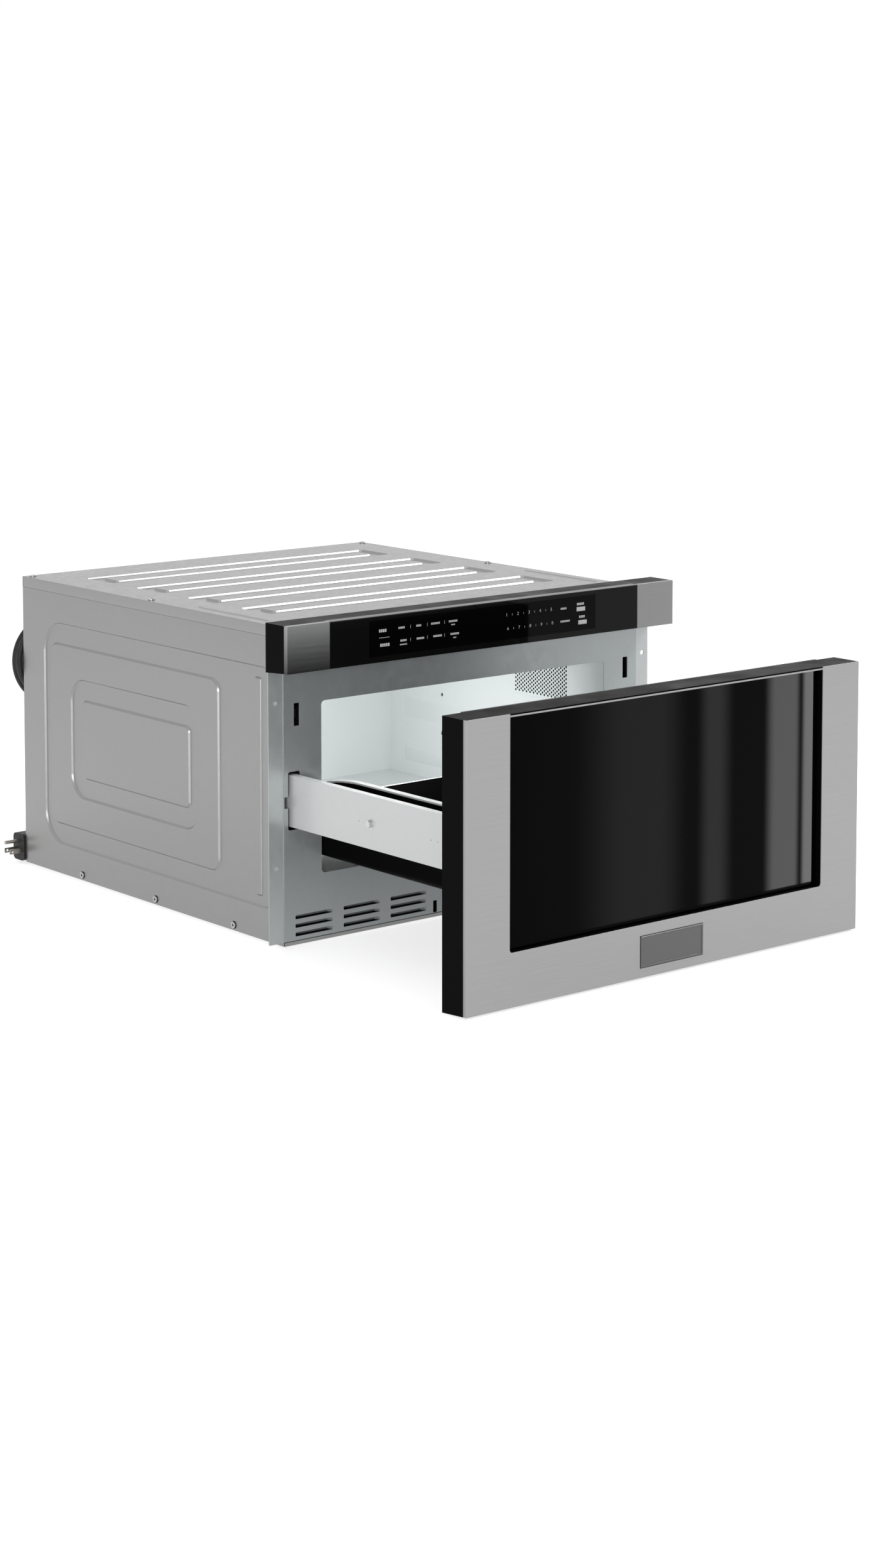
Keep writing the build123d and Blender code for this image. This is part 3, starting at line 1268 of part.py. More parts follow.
with BuildPart() as cord_tail:
    tail_top = Vector(gland_x, far_y, sleeve_low)
    tail_end = Vector(gland_x, far_y, coil_z + cord_d)
    with BuildLine() as tail_line:
        Line(tail_top, tail_end)
    with BuildSketch(Plane(origin=tail_top, z_dir=(0, 0, -1))):
        Circle(cord_r)
    sweep()
cord_tail.part.label = "cord_tail"
export_step(cord_tail.part, "parts/cord_tail.step")

# half turns in line, each one's radius changed by half a pitch, in to the climb and out again after it
climb_turn = coil_half_turns // 2
turn_radii = []
for turn in range(coil_half_turns):
    step_in = min(turn, coil_half_turns - turn)
    turn_radii.append(coil_radius - cord_pitch / 2 * step_in)
with BuildPart() as cord_coil:
    with BuildLine() as coil_line:
        point = Vector(gland_x, far_y, coil_z)
        Line(tail_end, point)
        for turn, radius in enumerate(turn_radii):
            over_top = turn % 2 == 1
            heading = 1 if over_top else -1
            middle_x = point.X + heading * radius
            crown_z = coil_z + heading * radius
            end_y = near_y if turn >= climb_turn else far_y
            end = Vector(middle_x + heading * radius, end_y, coil_z)
            if turn == climb_turn:
                crown = Vector(middle_x, (far_y + near_y) / 2, crown_z)
                slope = coil_climb_slope * (near_y - far_y) / radius
                crown_way = Vector(heading, slope, 0).normalized()
                biarc(point, Vector(0, 0, heading), crown, crown_way)
                biarc(crown, crown_way, end, Vector(0, 0, -heading))
            else:
                ThreePointArc(point, Vector(middle_x, end_y, crown_z), end)
            point = end
        coil_end = point - Vector(0, 0, cord_d)
        Line(point, coil_end)
    with BuildSketch(Plane(origin=tail_end, z_dir=(0, 0, -1))):
        Circle(cord_r)
    sweep()
cord_coil.part.label = "cord_coil"
export_step(cord_coil.part, "parts/cord_coil.step")

coil_wire = coil_line.wire()
coil_length = coil_wire.length
samples = int(coil_length / coil_sample_step)
path = [coil_wire.position_at(count / samples) for count in range(samples + 1)]
apart = int(coil_radius / coil_sample_step)
least = min(
    (path[first] - path[second]).length
    for first in range(samples)
    for second in range(first + apart, samples + 1)
)
print(f"coil: {coil_length:.0f} mm of cord, least gap to itself {least - cord_d:.2f} mm")

plug_middle_y = rear_y + plug_wall_gap + plug_width / 2
plug_middle_z = plug_bottom + plug_height / 2
lead_end = Vector(plug_x + plug_length, plug_middle_y, plug_middle_z)
lead_points = [
    coil_end,
    Vector(-177.6, 290.0, 222.0),
    Vector(-180.0, 290.6, 180.0),
    Vector(-179.5, 291.7, 136.0),
    Vector(-176.0, 293.2, 92.0),
    Vector(-177.5, 294.4, 66.0),
    Vector(-186.0, 295.4, 42.0),
    Vector(-204.0, 295.9, 24.5),
    Vector(-226.0, plug_middle_y, plug_middle_z),
    lead_end,
]
lead_radii = bend_radii(lead_points)
print("plug lead radii:", ", ".join(f"{radius:.0f}" for radius in lead_radii))
with BuildPart() as plug_lead:
    with BuildLine() as lead_line:
        FilletPolyline(*lead_points, radius=lead_radii)
    with BuildSketch(Plane(origin=coil_end, z_dir=(0, 0, -1))):
        Circle(cord_r)
    sweep()
plug_lead.part.label = "plug_lead"
export_step(plug_lead.part, "parts/plug_lead.step")
lead_length = lead_line.wire().length
lead_volume = pi * cord_r**2 * lead_length
volume_share = plug_lead.part.volume / lead_volume
print(f"plug lead: {lead_length:.0f} mm, volume {volume_share:.4f} of section times length")
print(f"whole cord: {coil_length + lead_length + (tail_top - tail_end).length:.0f} mm")

with BuildPart() as plug_body:
    body_end = plug_x + plug_length - plug_boot
    plug_y = (plug_middle_y - plug_width / 2, plug_middle_y + plug_width / 2)
    block((plug_x, body_end), plug_y, (plug_bottom, plug_bottom + plug_height))
    fillet(plug_body.edges().filter_by(Axis.X), plug_round)
    chamfer(plug_body.faces().sort_by(Axis.X)[-1].edges(), plug_bevel)
    boot_plane = Plane(origin=(body_end, plug_middle_y, plug_middle_z), z_dir=(1, 0, 0))
    with BuildSketch(boot_plane) as boot_start:
        Circle(plug_boot_d / 2)
    with BuildSketch(boot_plane.offset(plug_boot)) as boot_end:
        Circle(cord_r + gland_sleeve_wall)
    loft([boot_start.sketch, boot_end.sketch])
plug_body.part.label = "plug_body"
export_step(plug_body.part, "parts/plug_body.step")

with BuildPart() as plug_blades:
    blade_z = plug_middle_z - ground_spacing / 3
    for side in (-1, 1):
        blade_y = plug_middle_y + side * blade_spacing / 2
        limits_y = (blade_y - blade_sheet / 2, blade_y + blade_sheet / 2)
        limits_z = (blade_z - blade_width / 2, blade_z + blade_width / 2)
        block((plug_x - blade_length, plug_x), limits_y, limits_z)
        hole_start = (plug_x - blade_length + blade_hole_inset, blade_y - blade_sheet, blade_z)
        rod(hole_start, (0, 1, 0), blade_hole_d, 2 * blade_sheet, Mode.SUBTRACT)
    rod((plug_x, plug_middle_y, blade_z + ground_spacing), (-1, 0, 0), ground_pin_d, ground_pin_length)
plug_blades.part.label = "plug_blades"
export_step(plug_blades.part, "parts/plug_blades.step")

with BuildPart() as cord_ties:
    coil_x = gland_x - coil_radius
    low_r = coil_radius - climb_turn * cord_pitch / 2
    top_limits = (coil_z + low_r - cord_r, coil_z + coil_radius - cord_pitch / 2 + cord_r)
    bottom_limits = (coil_z - coil_radius - cord_r, coil_z - low_r - cord_pitch / 2 + cord_r + tie_sag)
    for middle_x, (low, high) in ((coil_x - cord_pitch / 2, top_limits), (coil_x, bottom_limits)):
        band_x = (middle_x - tie_width / 2, middle_x + tie_width / 2)
        inner_y = (near_y - cord_r - tie_gap, far_y + cord_r + tie_gap)
        inner_z = (low - tie_gap, high + tie_gap)
        outer_y = (rear_y, inner_y[1] + tie_thickness)
        outer_z = (inner_z[0] - tie_thickness, inner_z[1] + tie_thickness)
        block(band_x, outer_y, outer_z)
        block(band_x, inner_y, inner_z, Mode.SUBTRACT)
cord_ties.part.label = "cord_ties"
export_step(cord_ties.part, "parts/cord_ties.step")
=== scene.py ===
"""Drawer microwave with its drawer open: finishes, pressed sheets, control panel, cord and studio.

Metres, in the row frame: +Z up, X to the viewer's right, Y into the cabinet.
"""
import json
import math

import bmesh
import bpy
from mathutils import Matrix, Vector


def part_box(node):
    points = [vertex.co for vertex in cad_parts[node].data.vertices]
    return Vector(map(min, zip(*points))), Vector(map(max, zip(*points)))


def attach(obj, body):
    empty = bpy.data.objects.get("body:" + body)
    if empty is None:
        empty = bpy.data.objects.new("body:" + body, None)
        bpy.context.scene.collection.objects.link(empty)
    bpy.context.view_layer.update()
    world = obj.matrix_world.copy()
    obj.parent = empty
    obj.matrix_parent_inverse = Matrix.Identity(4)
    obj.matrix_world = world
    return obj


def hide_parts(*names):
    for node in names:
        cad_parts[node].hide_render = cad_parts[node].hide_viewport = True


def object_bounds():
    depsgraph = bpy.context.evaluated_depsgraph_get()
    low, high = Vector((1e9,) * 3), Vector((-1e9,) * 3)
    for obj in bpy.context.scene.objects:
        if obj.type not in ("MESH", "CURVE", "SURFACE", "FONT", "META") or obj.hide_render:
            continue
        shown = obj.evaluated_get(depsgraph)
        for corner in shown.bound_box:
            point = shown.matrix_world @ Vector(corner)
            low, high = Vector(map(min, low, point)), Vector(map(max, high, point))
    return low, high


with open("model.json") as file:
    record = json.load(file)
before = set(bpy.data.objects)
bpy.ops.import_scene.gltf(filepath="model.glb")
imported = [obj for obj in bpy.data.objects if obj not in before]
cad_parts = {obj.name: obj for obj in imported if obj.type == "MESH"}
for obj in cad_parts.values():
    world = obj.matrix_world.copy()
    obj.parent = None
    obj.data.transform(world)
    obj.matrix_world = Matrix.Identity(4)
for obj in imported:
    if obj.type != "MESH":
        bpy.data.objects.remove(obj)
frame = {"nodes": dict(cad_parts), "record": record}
cad_box = [list(corner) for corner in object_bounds()]
MM = 0.001
MERGE = 1e-6                   # points of a made piece that are closer than this become one
SOLID_MERGE = 1e-5             # the same for points of a solid's mesh

# ---------------------------------------------------------------- camera and light
LENS = 70.91
SENSOR = 36.0
CAMERA_PLACE = (-2.3766, -3.1185, 0.9198)
CAMERA_TURN = 39.43            # degrees to the right of +Y
CAMERA_DIP = 5.29              # degrees below the horizon
CAMERA_SHIFT = -0.22
WORLD_LIGHT = 0.35
FLOOR_COLOR = 0.8
FLOOR_GLOW = 0.74
FLOOR_REACH = 14.0
AIM = (0.0, -0.2, 0.15)        # what the softboxes face
# softboxes: place, size and power
SOFTBOXES = {
    "top_light": ((0.0, 0.3, 3.6), 2.4, 16),
    "key_light": ((2.6, -1.1, 3.2), 1.2, 80),
    "camera_side_light": ((-3.4, -2.9, 0.62), 1.2, 46),
}
CAVITY_LIGHT_PLACE = (-0.06, -0.272, 0.243)
CAVITY_LIGHT_WAY = (0, 1, -0.15)
CAVITY_LIGHT_SIZE = (0.16, 0.07)
CAVITY_LIGHT_POWER = 0.82
# upright bands in the door glass's reflection: X in millimetres where each begins, is full, wanes
# and ends, and its level
GLASS_BANDS = (
    (-150, -58, -14, 34, 5.4),
    (44, 67, 78, 106, 9.0),
    (152, 172, 204, 214, 30.0),
    (214, 222, 236, 242, 48.0),
)
BAND_FLOOR = 0.3               # level between the bands
BAND_CARD_GAP = 0.2            # between the door glass and the card
BAND_CARD_HEIGHT = 0.7
RAMP_ENDS = (0.001, 0.999)     # the bands' stops stay between the colour ramp's own two

# ---------------------------------------------------------------- places taken from the solids
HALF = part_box("top_cover")[1].x
BODY_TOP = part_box("top_cover")[1].z
FRONT_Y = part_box("front_plate")[0].y
PLATE_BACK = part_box("front_plate")[1].y
REAR_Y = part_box("rear_panel")[1].y
REAR_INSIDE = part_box("rear_panel")[0].y
PANEL_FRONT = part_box("control_glass")[0].y
CAVITY_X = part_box("vent_screen")[0].x
SKIRT_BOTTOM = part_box("top_cover")[0].z

# ---------------------------------------------------------------- pressed sheets
SHEET = 1 * MM
SKIRT_GAP = 0.3 * MM
PRESS_DEPTH = 2.5 * MM
PRESS_SLOPE = 2.2 * MM
BEND = 0.5 * MM
BEND_ANGLE = 25                # degrees: a sharper edge of a sheet is a bend
BEND_STEPS = 3
SMOOTH_ANGLE = 40              # degrees: an edge sharper than this stays sharp
SMALL_SMOOTH_ANGLE = 50        # for creases, scoops and rails
LEAST_CORNER = 0.4             # a pressing's inner corner as a share of its outer one, at least
CORNER_STEPS = 10
FLANGE_REACH = 21 * MM
FLANGE_LOW = 4.6 * MM
FLANGE_HOLE_INSET = 9.8 * MM
FLANGE_HOLE_R = 2.75 * MM
FLANGE_HOLE_BAND = 8 * MM      # half the height of the panel round a hole
FLANGE_HOLES = (93.6 * MM, 287.8 * MM)
# pressings on each side, in millimetres: reach behind the front plate, heights, corner, and
# whether it goes in
SIDE_PRESSINGS = (
    ((2.5, 516.8), (38.0, 325.0), 40.0, True),
    ((130.5, 502.0), (64.0, 298.0), 16.0, False),
    ((171.4, 454.3), (104.8, 258.2), 30.0, True),
    ((191.6, 427.5), (130.8, 232.2), 8.0, False),
)
# bead on each side, in millimetres: reach behind the front plate, heights and corner
SIDE_BEAD = ((45.2, 58.0), (51.0, 311.0), 3.0)
BEAD_HEIGHT = 1.8 * MM
BEAD_SLOPE = 2.0 * MM
RIB_COUNT = 4
RIB_PITCH = 113 * MM
RIB_FIRST = 128 * MM
RIB_HALF_X = 226 * MM
RIB_HALF_Y = 32 * MM
RIB_BAND = 16.5 * MM
RIB_CORNER = 6 * MM
# louvres, in millimetres: middle X of each column and top of each row
LOUVRE_PLACES = (-234.6, -163.7, -92.8, 92.8, 163.7, 234.6)
LOUVRE_TOPS = (34.8, 24.6, 14.4)
LOUVRE_HALF = 27.3 * MM
LOUVRE_HEIGHT = 4.6 * MM
SCOOP_DEPTH = 7 * MM
SCOOP_LAP = 0.6 * MM           # how far a tongue starts above its slot
SCOOP_TAPER = 0.45             # how fast a tongue narrows as it goes in
SCOOP_SHEET = 0.6 * MM
SCOOP_STEPS = 6
CREASE_X = (257.5 * MM, 262.5 * MM)
CREASE_BEHIND = (54 * MM, 195 * MM)
CREASE_CORNER = 2.4 * MM
CREASE_HEIGHT = 0.9 * MM
CREASE_SLOPE = 1.6 * MM
VENT_COLUMNS = 29
VENT_ROWS = 10
VENT_PITCH = (3.5 * MM, 5.2 * MM)
VENT_MARGIN = 5 * MM
VENT_HOLE_R = 1.5 * MM
# black sheet just behind the vent's holes: painted shade, so the holes read dark
VENT_SHADE_SHEET = 0.1 * MM
VENT_EDGE_STEPS = 4            # points along each side of a hole's cell
# painted shadow disc round each body screw, and the painted shade of the cross recess in its head
SHADOW_DISC_R = 4.7 * MM
SHADOW_DISC_RAISE = 0.15 * MM
SCREW_HEAD = 2.0 * MM
SCREW_CROSS_SHADE = (4.6 * MM, 1.0 * MM)
SHADOW_DISC_STEPS = 24
RAIL_BEHIND = (40 * MM, 400 * MM)
RAIL_HEIGHTS = ((97.0 * MM, 117.5 * MM), (157.0 * MM, 184.5 * MM))
RAIL_CORNER = 5 * MM
RAIL_RAISE = 0.9 * MM
RAIL_SLOPE = 2.2 * MM

# ---------------------------------------------------------------- control panel's print
PRINT_RAISE = 0.04 * MM
WINDOW_RAISE = PRINT_RAISE / 4
WINDOW_X = (-184 * MM, 171 * MM)
WINDOW_Z = (335.5 * MM, 378 * MM)
DIGIT_HEIGHT = 5.4 * MM
# rows of digits: the digits, X of the first and height of the row, in millimetres
DIGIT_ROWS = (("12345", 26.6, 365.7), ("67890", 28.6, 348.8))
DIGIT_PITCH = 17.9
# printed marks: middle X, middle Z, number of strokes, stroke height, all in millimetres
MARKS = (
    (-164.0, 365.4, 4, 3.6),
    (-160.9, 348.4, 5, 3.6),
    (-135.8, 366.3, 5, 2.4),
    (-110.0, 366.3, 4, 2.4),
    (-84.5, 366.5, 7, 2.4),
    (-57.4, 366.6, 7, 2.4),
    (-57.4, 362.4, 5, 1.5),
    (-133.0, 351.0, 5, 2.4),
    (-133.0, 346.3, 9, 1.5),
    (-107.5, 351.0, 6, 2.4),
    (-81.2, 351.2, 7, 2.4),
    (-54.9, 351.2, 7, 2.4),
    (-54.9, 346.7, 4, 1.5),
    (118.3, 364.9, 5, 2.4),
    (120.9, 349.1, 8, 2.4),
    (146.0, 368.2, 5, 3.0),
    (148.6, 352.2, 4, 3.0),
)
STROKE_SHARE = 0.62            # a stroke's width as a share of its height
STROKE_GAP = 0.3               # between two strokes, as a share of a stroke's width
# upright dividers, in millimetres: X and middle heights, then width and height of one
DIVIDERS = (-122.5, -97.0, -70.5)
DIVIDER_ROWS = (366.3, 351.0)
DIVIDER_SIZE = (0.4, 4.0)
DIGIT_DIVIDER_OFFSET = 8.9     # from the digit before it
DIGIT_DIVIDER_SIZE = (0.4, 2.4)
# a thin printed line, in millimetres: its ends in X, and its height
STACK_LINE = ((-169.5, -154.0), 357.2)
STACK_LINE_WIDTH = 0.5
# two small printed boxes, in millimetres: X and height of the middle, then width and height
BOXES = ((146.8, 361.9), (149.6, 345.4))
BOX_SIZE = (14.0, 5.2)

# ---------------------------------------------------------------- badge
# width of the dark ring of painted shade in the gap round the badge
BADGE_GAP_SHADE = 0.8 * MM

# ---------------------------------------------------------------- supply cord, as in the solids
CORD_D = 9 * MM
COIL_HALF_TURNS = 6
TURN_POINTS = 7                # control points on each half turn
# the cord's places, in millimetres
COIL_Z = 262.0
COIL_RADIUS = 56.0
CORD_PITCH = 9.6
GLAND_X = -168.0
FAR_Y = 299.6
NEAR_Y = 290.0
SLEEVE_LOW = 319.0
TAIL_LOW = 271.0
LEAD_POINTS = (
    (-177.6, 290.0, 253.0),
    (-177.6, 290.0, 222.0),
    (-180.0, 290.6, 180.0),
    (-179.5, 291.7, 136.0),
    (-176.0, 293.2, 92.0),
    (-177.5, 294.4, 66.0),
    (-186.0, 295.4, 42.0),
    (-204.0, 295.9, 24.5),
    (-226.0, 295.9, 17.9),
    (-245.0, 295.9, 17.9),
)


# ================================================================ finishes
class Finish:
    """A principled material built up from procedural layers in the row frame."""

    def __init__(self, name, color, roughness, **plain):
        self.material = bpy.data.materials.new(name)
        self.material.use_nodes = True
        self.nodes = self.material.node_tree.nodes
        self.links = self.material.node_tree.links
        self.shader = self.nodes["Principled BSDF"]
        self.color = color
        self.shade = None
        self.normal = None
        self.shader.inputs["Base Color"].default_value = (*color, 1)
        self.shader.inputs["Roughness"].default_value = roughness
        for socket, value in plain.items():
            self.shader.inputs[socket.replace("_", " ")].default_value = value

    def texture(self, kind, scale, stretch=(1, 1, 1), detail=None):
        """A texture node fed with places in the row frame, stretched by slowing it along an axis."""
        place = self.nodes.new("ShaderNodeTexCoord")
        spread = self.nodes.new("ShaderNodeMapping")
        spread.inputs["Scale"].default_value = stretch
        node = self.nodes.new(kind)
        node.inputs["Scale"].default_value = scale
        if detail is not None:
            node.inputs["Detail"].default_value = detail
        self.links.new(place.outputs["Object"], spread.inputs["Vector"])
        self.links.new(spread.outputs["Vector"], node.inputs["Vector"])
        return node

    def grain(self, scale, stretch=(1, 1, 1), detail=3.0):
        return self.texture("ShaderNodeTexNoise", scale, stretch, detail).outputs[0]

    def cells(self, scale):
        return self.texture("ShaderNodeTexVoronoi", scale).outputs["Color"]

    def height(self, low, high):
        """0 at the height low and 1 at the height high, for a colour that changes up a piece."""
        place = self.nodes.new("ShaderNodeTexCoord")
        parts = self.nodes.new("ShaderNodeSeparateXYZ")
        self.links.new(place.outputs["Object"], parts.inputs[0])
        return self.ranged(parts.outputs["Z"], low, high, 0, 1)

    def upward(self):
        """How far the surface faces up, from -1 to 1."""
        facing = self.nodes.new("ShaderNodeNewGeometry")
        parts = self.nodes.new("ShaderNodeSeparateXYZ")
        self.links.new(facing.outputs["Normal"], parts.inputs[0])
        return parts.outputs["Z"]

    def ranged(self, factor, from_low, from_high, low, high):
        node = self.nodes.new("ShaderNodeMapRange")
        sockets = ("From Min", "From Max", "To Min", "To Max")
        for socket, value in zip(sockets, (from_low, from_high, low, high)):
            node.inputs[socket].default_value = value
        self.links.new(factor, node.inputs["Value"])
        return node.outputs[0]

    def tint(self, factor, low, high, from_low=0.3, from_high=0.7):
        """Multiply the colour by a number from low to high, following factor."""
        amount = self.ranged(factor, from_low, from_high, low, high)
        if self.shade is not None:
            product = self.nodes.new("ShaderNodeMath")
            product.operation = "MULTIPLY"
            self.links.new(self.shade, product.inputs[0])
            self.links.new(amount, product.inputs[1])
            amount = product.outputs[0]
        self.shade = amount
        return self

    def rough(self, factor, low, high):
        self.links.new(self.ranged(factor, 0.3, 0.7, low, high), self.shader.inputs["Roughness"])
        return self

    def edges(self, radius):
        """Round every sharp edge of the finish by radius, in the shading."""
        node = self.nodes.new("ShaderNodeBevel")
        node.samples = 4
        node.inputs["Radius"].default_value = radius
        self.normal = node.outputs[0]
        return self

    def relief(self, factor, strength, distance):
        node = self.nodes.new("ShaderNodeBump")
        node.inputs["Strength"].default_value = strength
        node.inputs["Distance"].default_value = distance
        self.links.new(factor, node.inputs["Height"])
        if self.normal is not None:
            self.links.new(self.normal, node.inputs["Normal"])
        self.normal = node.outputs[0]
        return self

    def done(self):
        if self.shade is not None:
            scaled = self.nodes.new("ShaderNodeVectorMath")
            scaled.operation = "SCALE"
            scaled.inputs[0].default_value = self.color
            self.links.new(self.shade, scaled.inputs["Scale"])
            self.links.new(scaled.outputs[0], self.shader.inputs["Base Color"])
        if self.normal is not None:
            self.links.new(self.normal, self.shader.inputs["Normal"])
        return self.material


def zinc(name, color, metallic=0.8, spangle=0.012, edge=0.4 * MM, painted_top_light=1.0):
    """Galvanised sheet: faint crystals, slight broad mottling, fine speckle.

    Where it faces up its colour is multiplied by the last argument: painted light from above.
    """
    finish = Finish(name, color, 0.32, Metallic=metallic)
    crystals = finish.cells(130)
    finish.tint(crystals, 1 - spangle, 1 + spangle)
    finish.tint(finish.grain(3.0, detail=1.0), 0.99, 1.01)
    finish.tint(finish.grain(1000), 0.97, 1.03)
    if painted_top_light != 1.0:
        # painted light: faces that look up are made lighter, as if lit from above
        finish.tint(finish.upward(), 1.0, painted_top_light, 0.5, 0.9)
    finish.rough(crystals, 0.29, 0.35)
    finish.edges(edge).relief(finish.grain(900), 0.08, 0.03 * MM)
    return finish.done()


def brushed(name, color, metallic=0.6, shade=None):
    """Brushed steel with its strokes along X; a given shade paints a reflection, darkening the colour towards
    the bottom of the piece.
    """
    finish = Finish(name, color, 0.34, Metallic=metallic, Anisotropic=0.4)
    strokes = finish.grain(1100, (0.012, 1, 1), 4.0)
    finish.tint(strokes, 0.955, 1.045)
    finish.tint(finish.grain(2.4, detail=1.0), 0.98, 1.02)
    # painted reflection: the colour darkens from the top of the piece to its bottom
    if shade is not None:
        low, high, dark = shade
        finish.tint(finish.height(low, high), dark, 1.0, 0, 1)
    finish.rough(strokes, 0.28, 0.42)
    finish.edges(0.5 * MM).relief(strokes, 0.1, 0.02 * MM)
    return finish.done()


def enamel(name, color, low=0.22, high=0.36, specular=0.5):
    """Fired enamel: smooth, with a slight orange peel."""
    finish = Finish(name, color, 0.3, Specular_IOR_Level=specular)
    finish.tint(finish.grain(5.0, detail=2.0), 0.985, 1.015)
    finish.rough(finish.grain(240), low, high)
    finish.edges(0.8 * MM).relief(finish.grain(320, detail=1.0), 0.03, 0.05 * MM)
    return finish.done()


def moulded(name, color, low=0.36, high=0.52, specular=0.5):
    """Moulded plastic with a fine spark-eroded grain and lighter rubbed patches."""
    finish = Finish(name, color, 0.45, Specular_IOR_Level=specular)
    pits = finish.grain(1600, detail=2.0)
    finish.tint(finish.grain(6.0, detail=2.0), 0.94, 1.06)
    finish.rough(finish.grain(22), low, high)
    finish.edges(0.4 * MM).relief(pits, 0.16, 0.04 * MM)
    return finish.done()


def dark_glass(name, color, specular):
    """Polished dark glass, hardly uneven, with faint wiped smears in its gloss."""
    finish = Finish(name, color, 0.04, Specular_IOR_Level=specular)
    smears = finish.grain(7.0, (1, 1, 0.35), 3.0)
    finish.tint(smears, 0.96, 1.04)
    finish.rough(smears, 0.02, 0.05)
    finish.relief(finish.grain(3.0, detail=1.0), 0.02, 0.4 * MM)
    return finish.done()


def clear_glass(name):
    finish = Finish(name, (0.86, 0.95, 0.92), 0.03, Transmission_Weight=1.0, IOR=1.5)
    finish.tint(finish.grain(4.0), 0.985, 1.0)
    finish.rough(finish.grain(12), 0.02, 0.07)
    finish.relief(finish.grain(6.0, detail=1.0), 0.03, 0.2 * MM)
    return finish.done()


def bare_metal(name, color, roughness=0.35, metallic=1.0, grain=500):
    finish = Finish(name, color, roughness, Metallic=metallic)
    marks = finish.grain(grain)
    finish.tint(marks, 0.93, 1.07)
    finish.rough(finish.grain(60), roughness - 0.08, roughness + 0.1)
    finish.edges(0.3 * MM).relief(marks, 0.12, 0.03 * MM)
    return finish.done()


def painted(name, color, roughness=0.4, specular=0.4):
    finish = Finish(name, color, roughness, Specular_IOR_Level=specular)
    finish.tint(finish.grain(9.0, detail=2.0), 0.95, 1.05)
    finish.rough(finish.grain(40), roughness - 0.08, roughness + 0.1)
    finish.edges(0.5 * MM).relief(finish.grain(450, detail=1.0), 0.14, 0.06 * MM)
    return finish.done()


def solder_mask(name):
    """Circuit board: green mask over a pattern of copper tracks."""
    finish = Finish(name, (0.012, 0.10, 0.045), 0.32, Coat_Weight=0.3)
    tracks = finish.texture("ShaderNodeTexBrick", 160).outputs["Fac"]
    finish.tint(tracks, 1.0, 2.2, 0, 1)
    finish.tint(finish.grain(14), 0.9, 1.1)
    finish.rough(finish.grain(30), 0.26, 0.4)
    finish.edges(0.2 * MM).relief(tracks, 0.3, 0.04 * MM)
    return finish.done()


def rubber(name, color, low=0.5, high=0.68):
    """Cord sheath and bumpers: matt, with a fine drag grain."""
    finish = Finish(name, color, 0.6, Specular_IOR_Level=0.35, Sheen_Weight=0.05)
    skin = finish.grain(1200, detail=2.0)
    finish.tint(finish.grain(25, detail=2.0), 0.9, 1.1)
    finish.rough(finish.grain(90), low, high)
    finish.edges(0.6 * MM).relief(skin, 0.2, 0.04 * MM)
    return finish.done()


def make_finishes():
    """One finish for each of the record's material slots."""
    return {
        "galvanised_sheet": zinc("galvanised_sheet", (0.315, 0.315, 0.315)),
        "front_galvanised": zinc("front_galvanised", (0.46, 0.495, 0.50), 0.3),
        "cavity_enamel": enamel("cavity_enamel", (0.82, 0.85, 0.85), 0.34, 0.4, 0.3),
        "cover_sheet": moulded("cover_sheet", (0.62, 0.60, 0.54), 0.4, 0.55),
        "black_plastic": moulded("black_plastic", (0.003, 0.003, 0.003), 0.3, 0.42, 0.02),
        "panel_black": painted("panel_black", (0.008, 0.008, 0.008), 0.35, 0.15),
        "control_glass_black": dark_glass("control_glass_black", (0.007, 0.007, 0.007), 0.08),
        "door_glass_dark": dark_glass("door_glass_dark", (0.0012, 0.0012, 0.0012), 0.02),
        "stainless": brushed("stainless", (0.36, 0.36, 0.36)),
        "badge_metal": brushed("badge_metal", (0.125, 0.125, 0.128), 0.6),
        "circuit_board": solder_mask("circuit_board"),
        "slide_zinc": zinc("slide_zinc", (0.56, 0.57, 0.57), 0.8),
        # the side plates' tops are lightened 1.22 times: painted light from above
        "side_plate_zinc": zinc("side_plate_zinc", (0.78, 0.80, 0.80), 0.2, 0.006, 0.3 * MM, 1.22),
        "pan_enamel": enamel("pan_enamel", (0.003, 0.003, 0.003), 0.35, 0.5, 0.01),
        "rim_steel": brushed("rim_steel", (0.92, 0.92, 0.92), 0.3),
        "tray_glass": clear_glass("tray_glass"),
        "latch_plastic": moulded("latch_plastic", (0.62, 0.62, 0.59)),
        "switch_plastic": moulded("switch_plastic", (0.012, 0.012, 0.014), 0.22, 0.36),
        "lever_steel": bare_metal("lever_steel", (0.16, 0.16, 0.16)),
        "gear_plastic": moulded("gear_plastic", (0.70, 0.69, 0.62)),
        "motor_casing": painted("motor_casing", (0.09, 0.09, 0.10)),
        "magnetron_metal": bare_metal("magnetron_metal", (0.55, 0.55, 0.56), 0.4),
        "ferrite": painted("ferrite", (0.03, 0.028, 0.028), 0.6),
        "fan_plastic": moulded("fan_plastic", (0.014, 0.014, 0.014)),
        "lamp_porcelain": enamel("lamp_porcelain", (0.78, 0.76, 0.70), 0.12, 0.22),
        "stirrer_aluminium": bare_metal("stirrer_aluminium", (0.6, 0.6, 0.61)),
        "screw_zinc": bare_metal("screw_zinc", (0.55, 0.55, 0.54), 0.2, 1.0, 900),
        "bumper_rubber": rubber("bumper_rubber", (0.012, 0.012, 0.012)),
        "cord_black": rubber("cord_black", (0.012, 0.012, 0.013), 0.42, 0.6),
        "tie_plastic": moulded("tie_plastic", (0.014, 0.014, 0.014)),
        "blade_brass": bare_metal("blade_brass", (0.42, 0.40, 0.36), 0.3),
    }


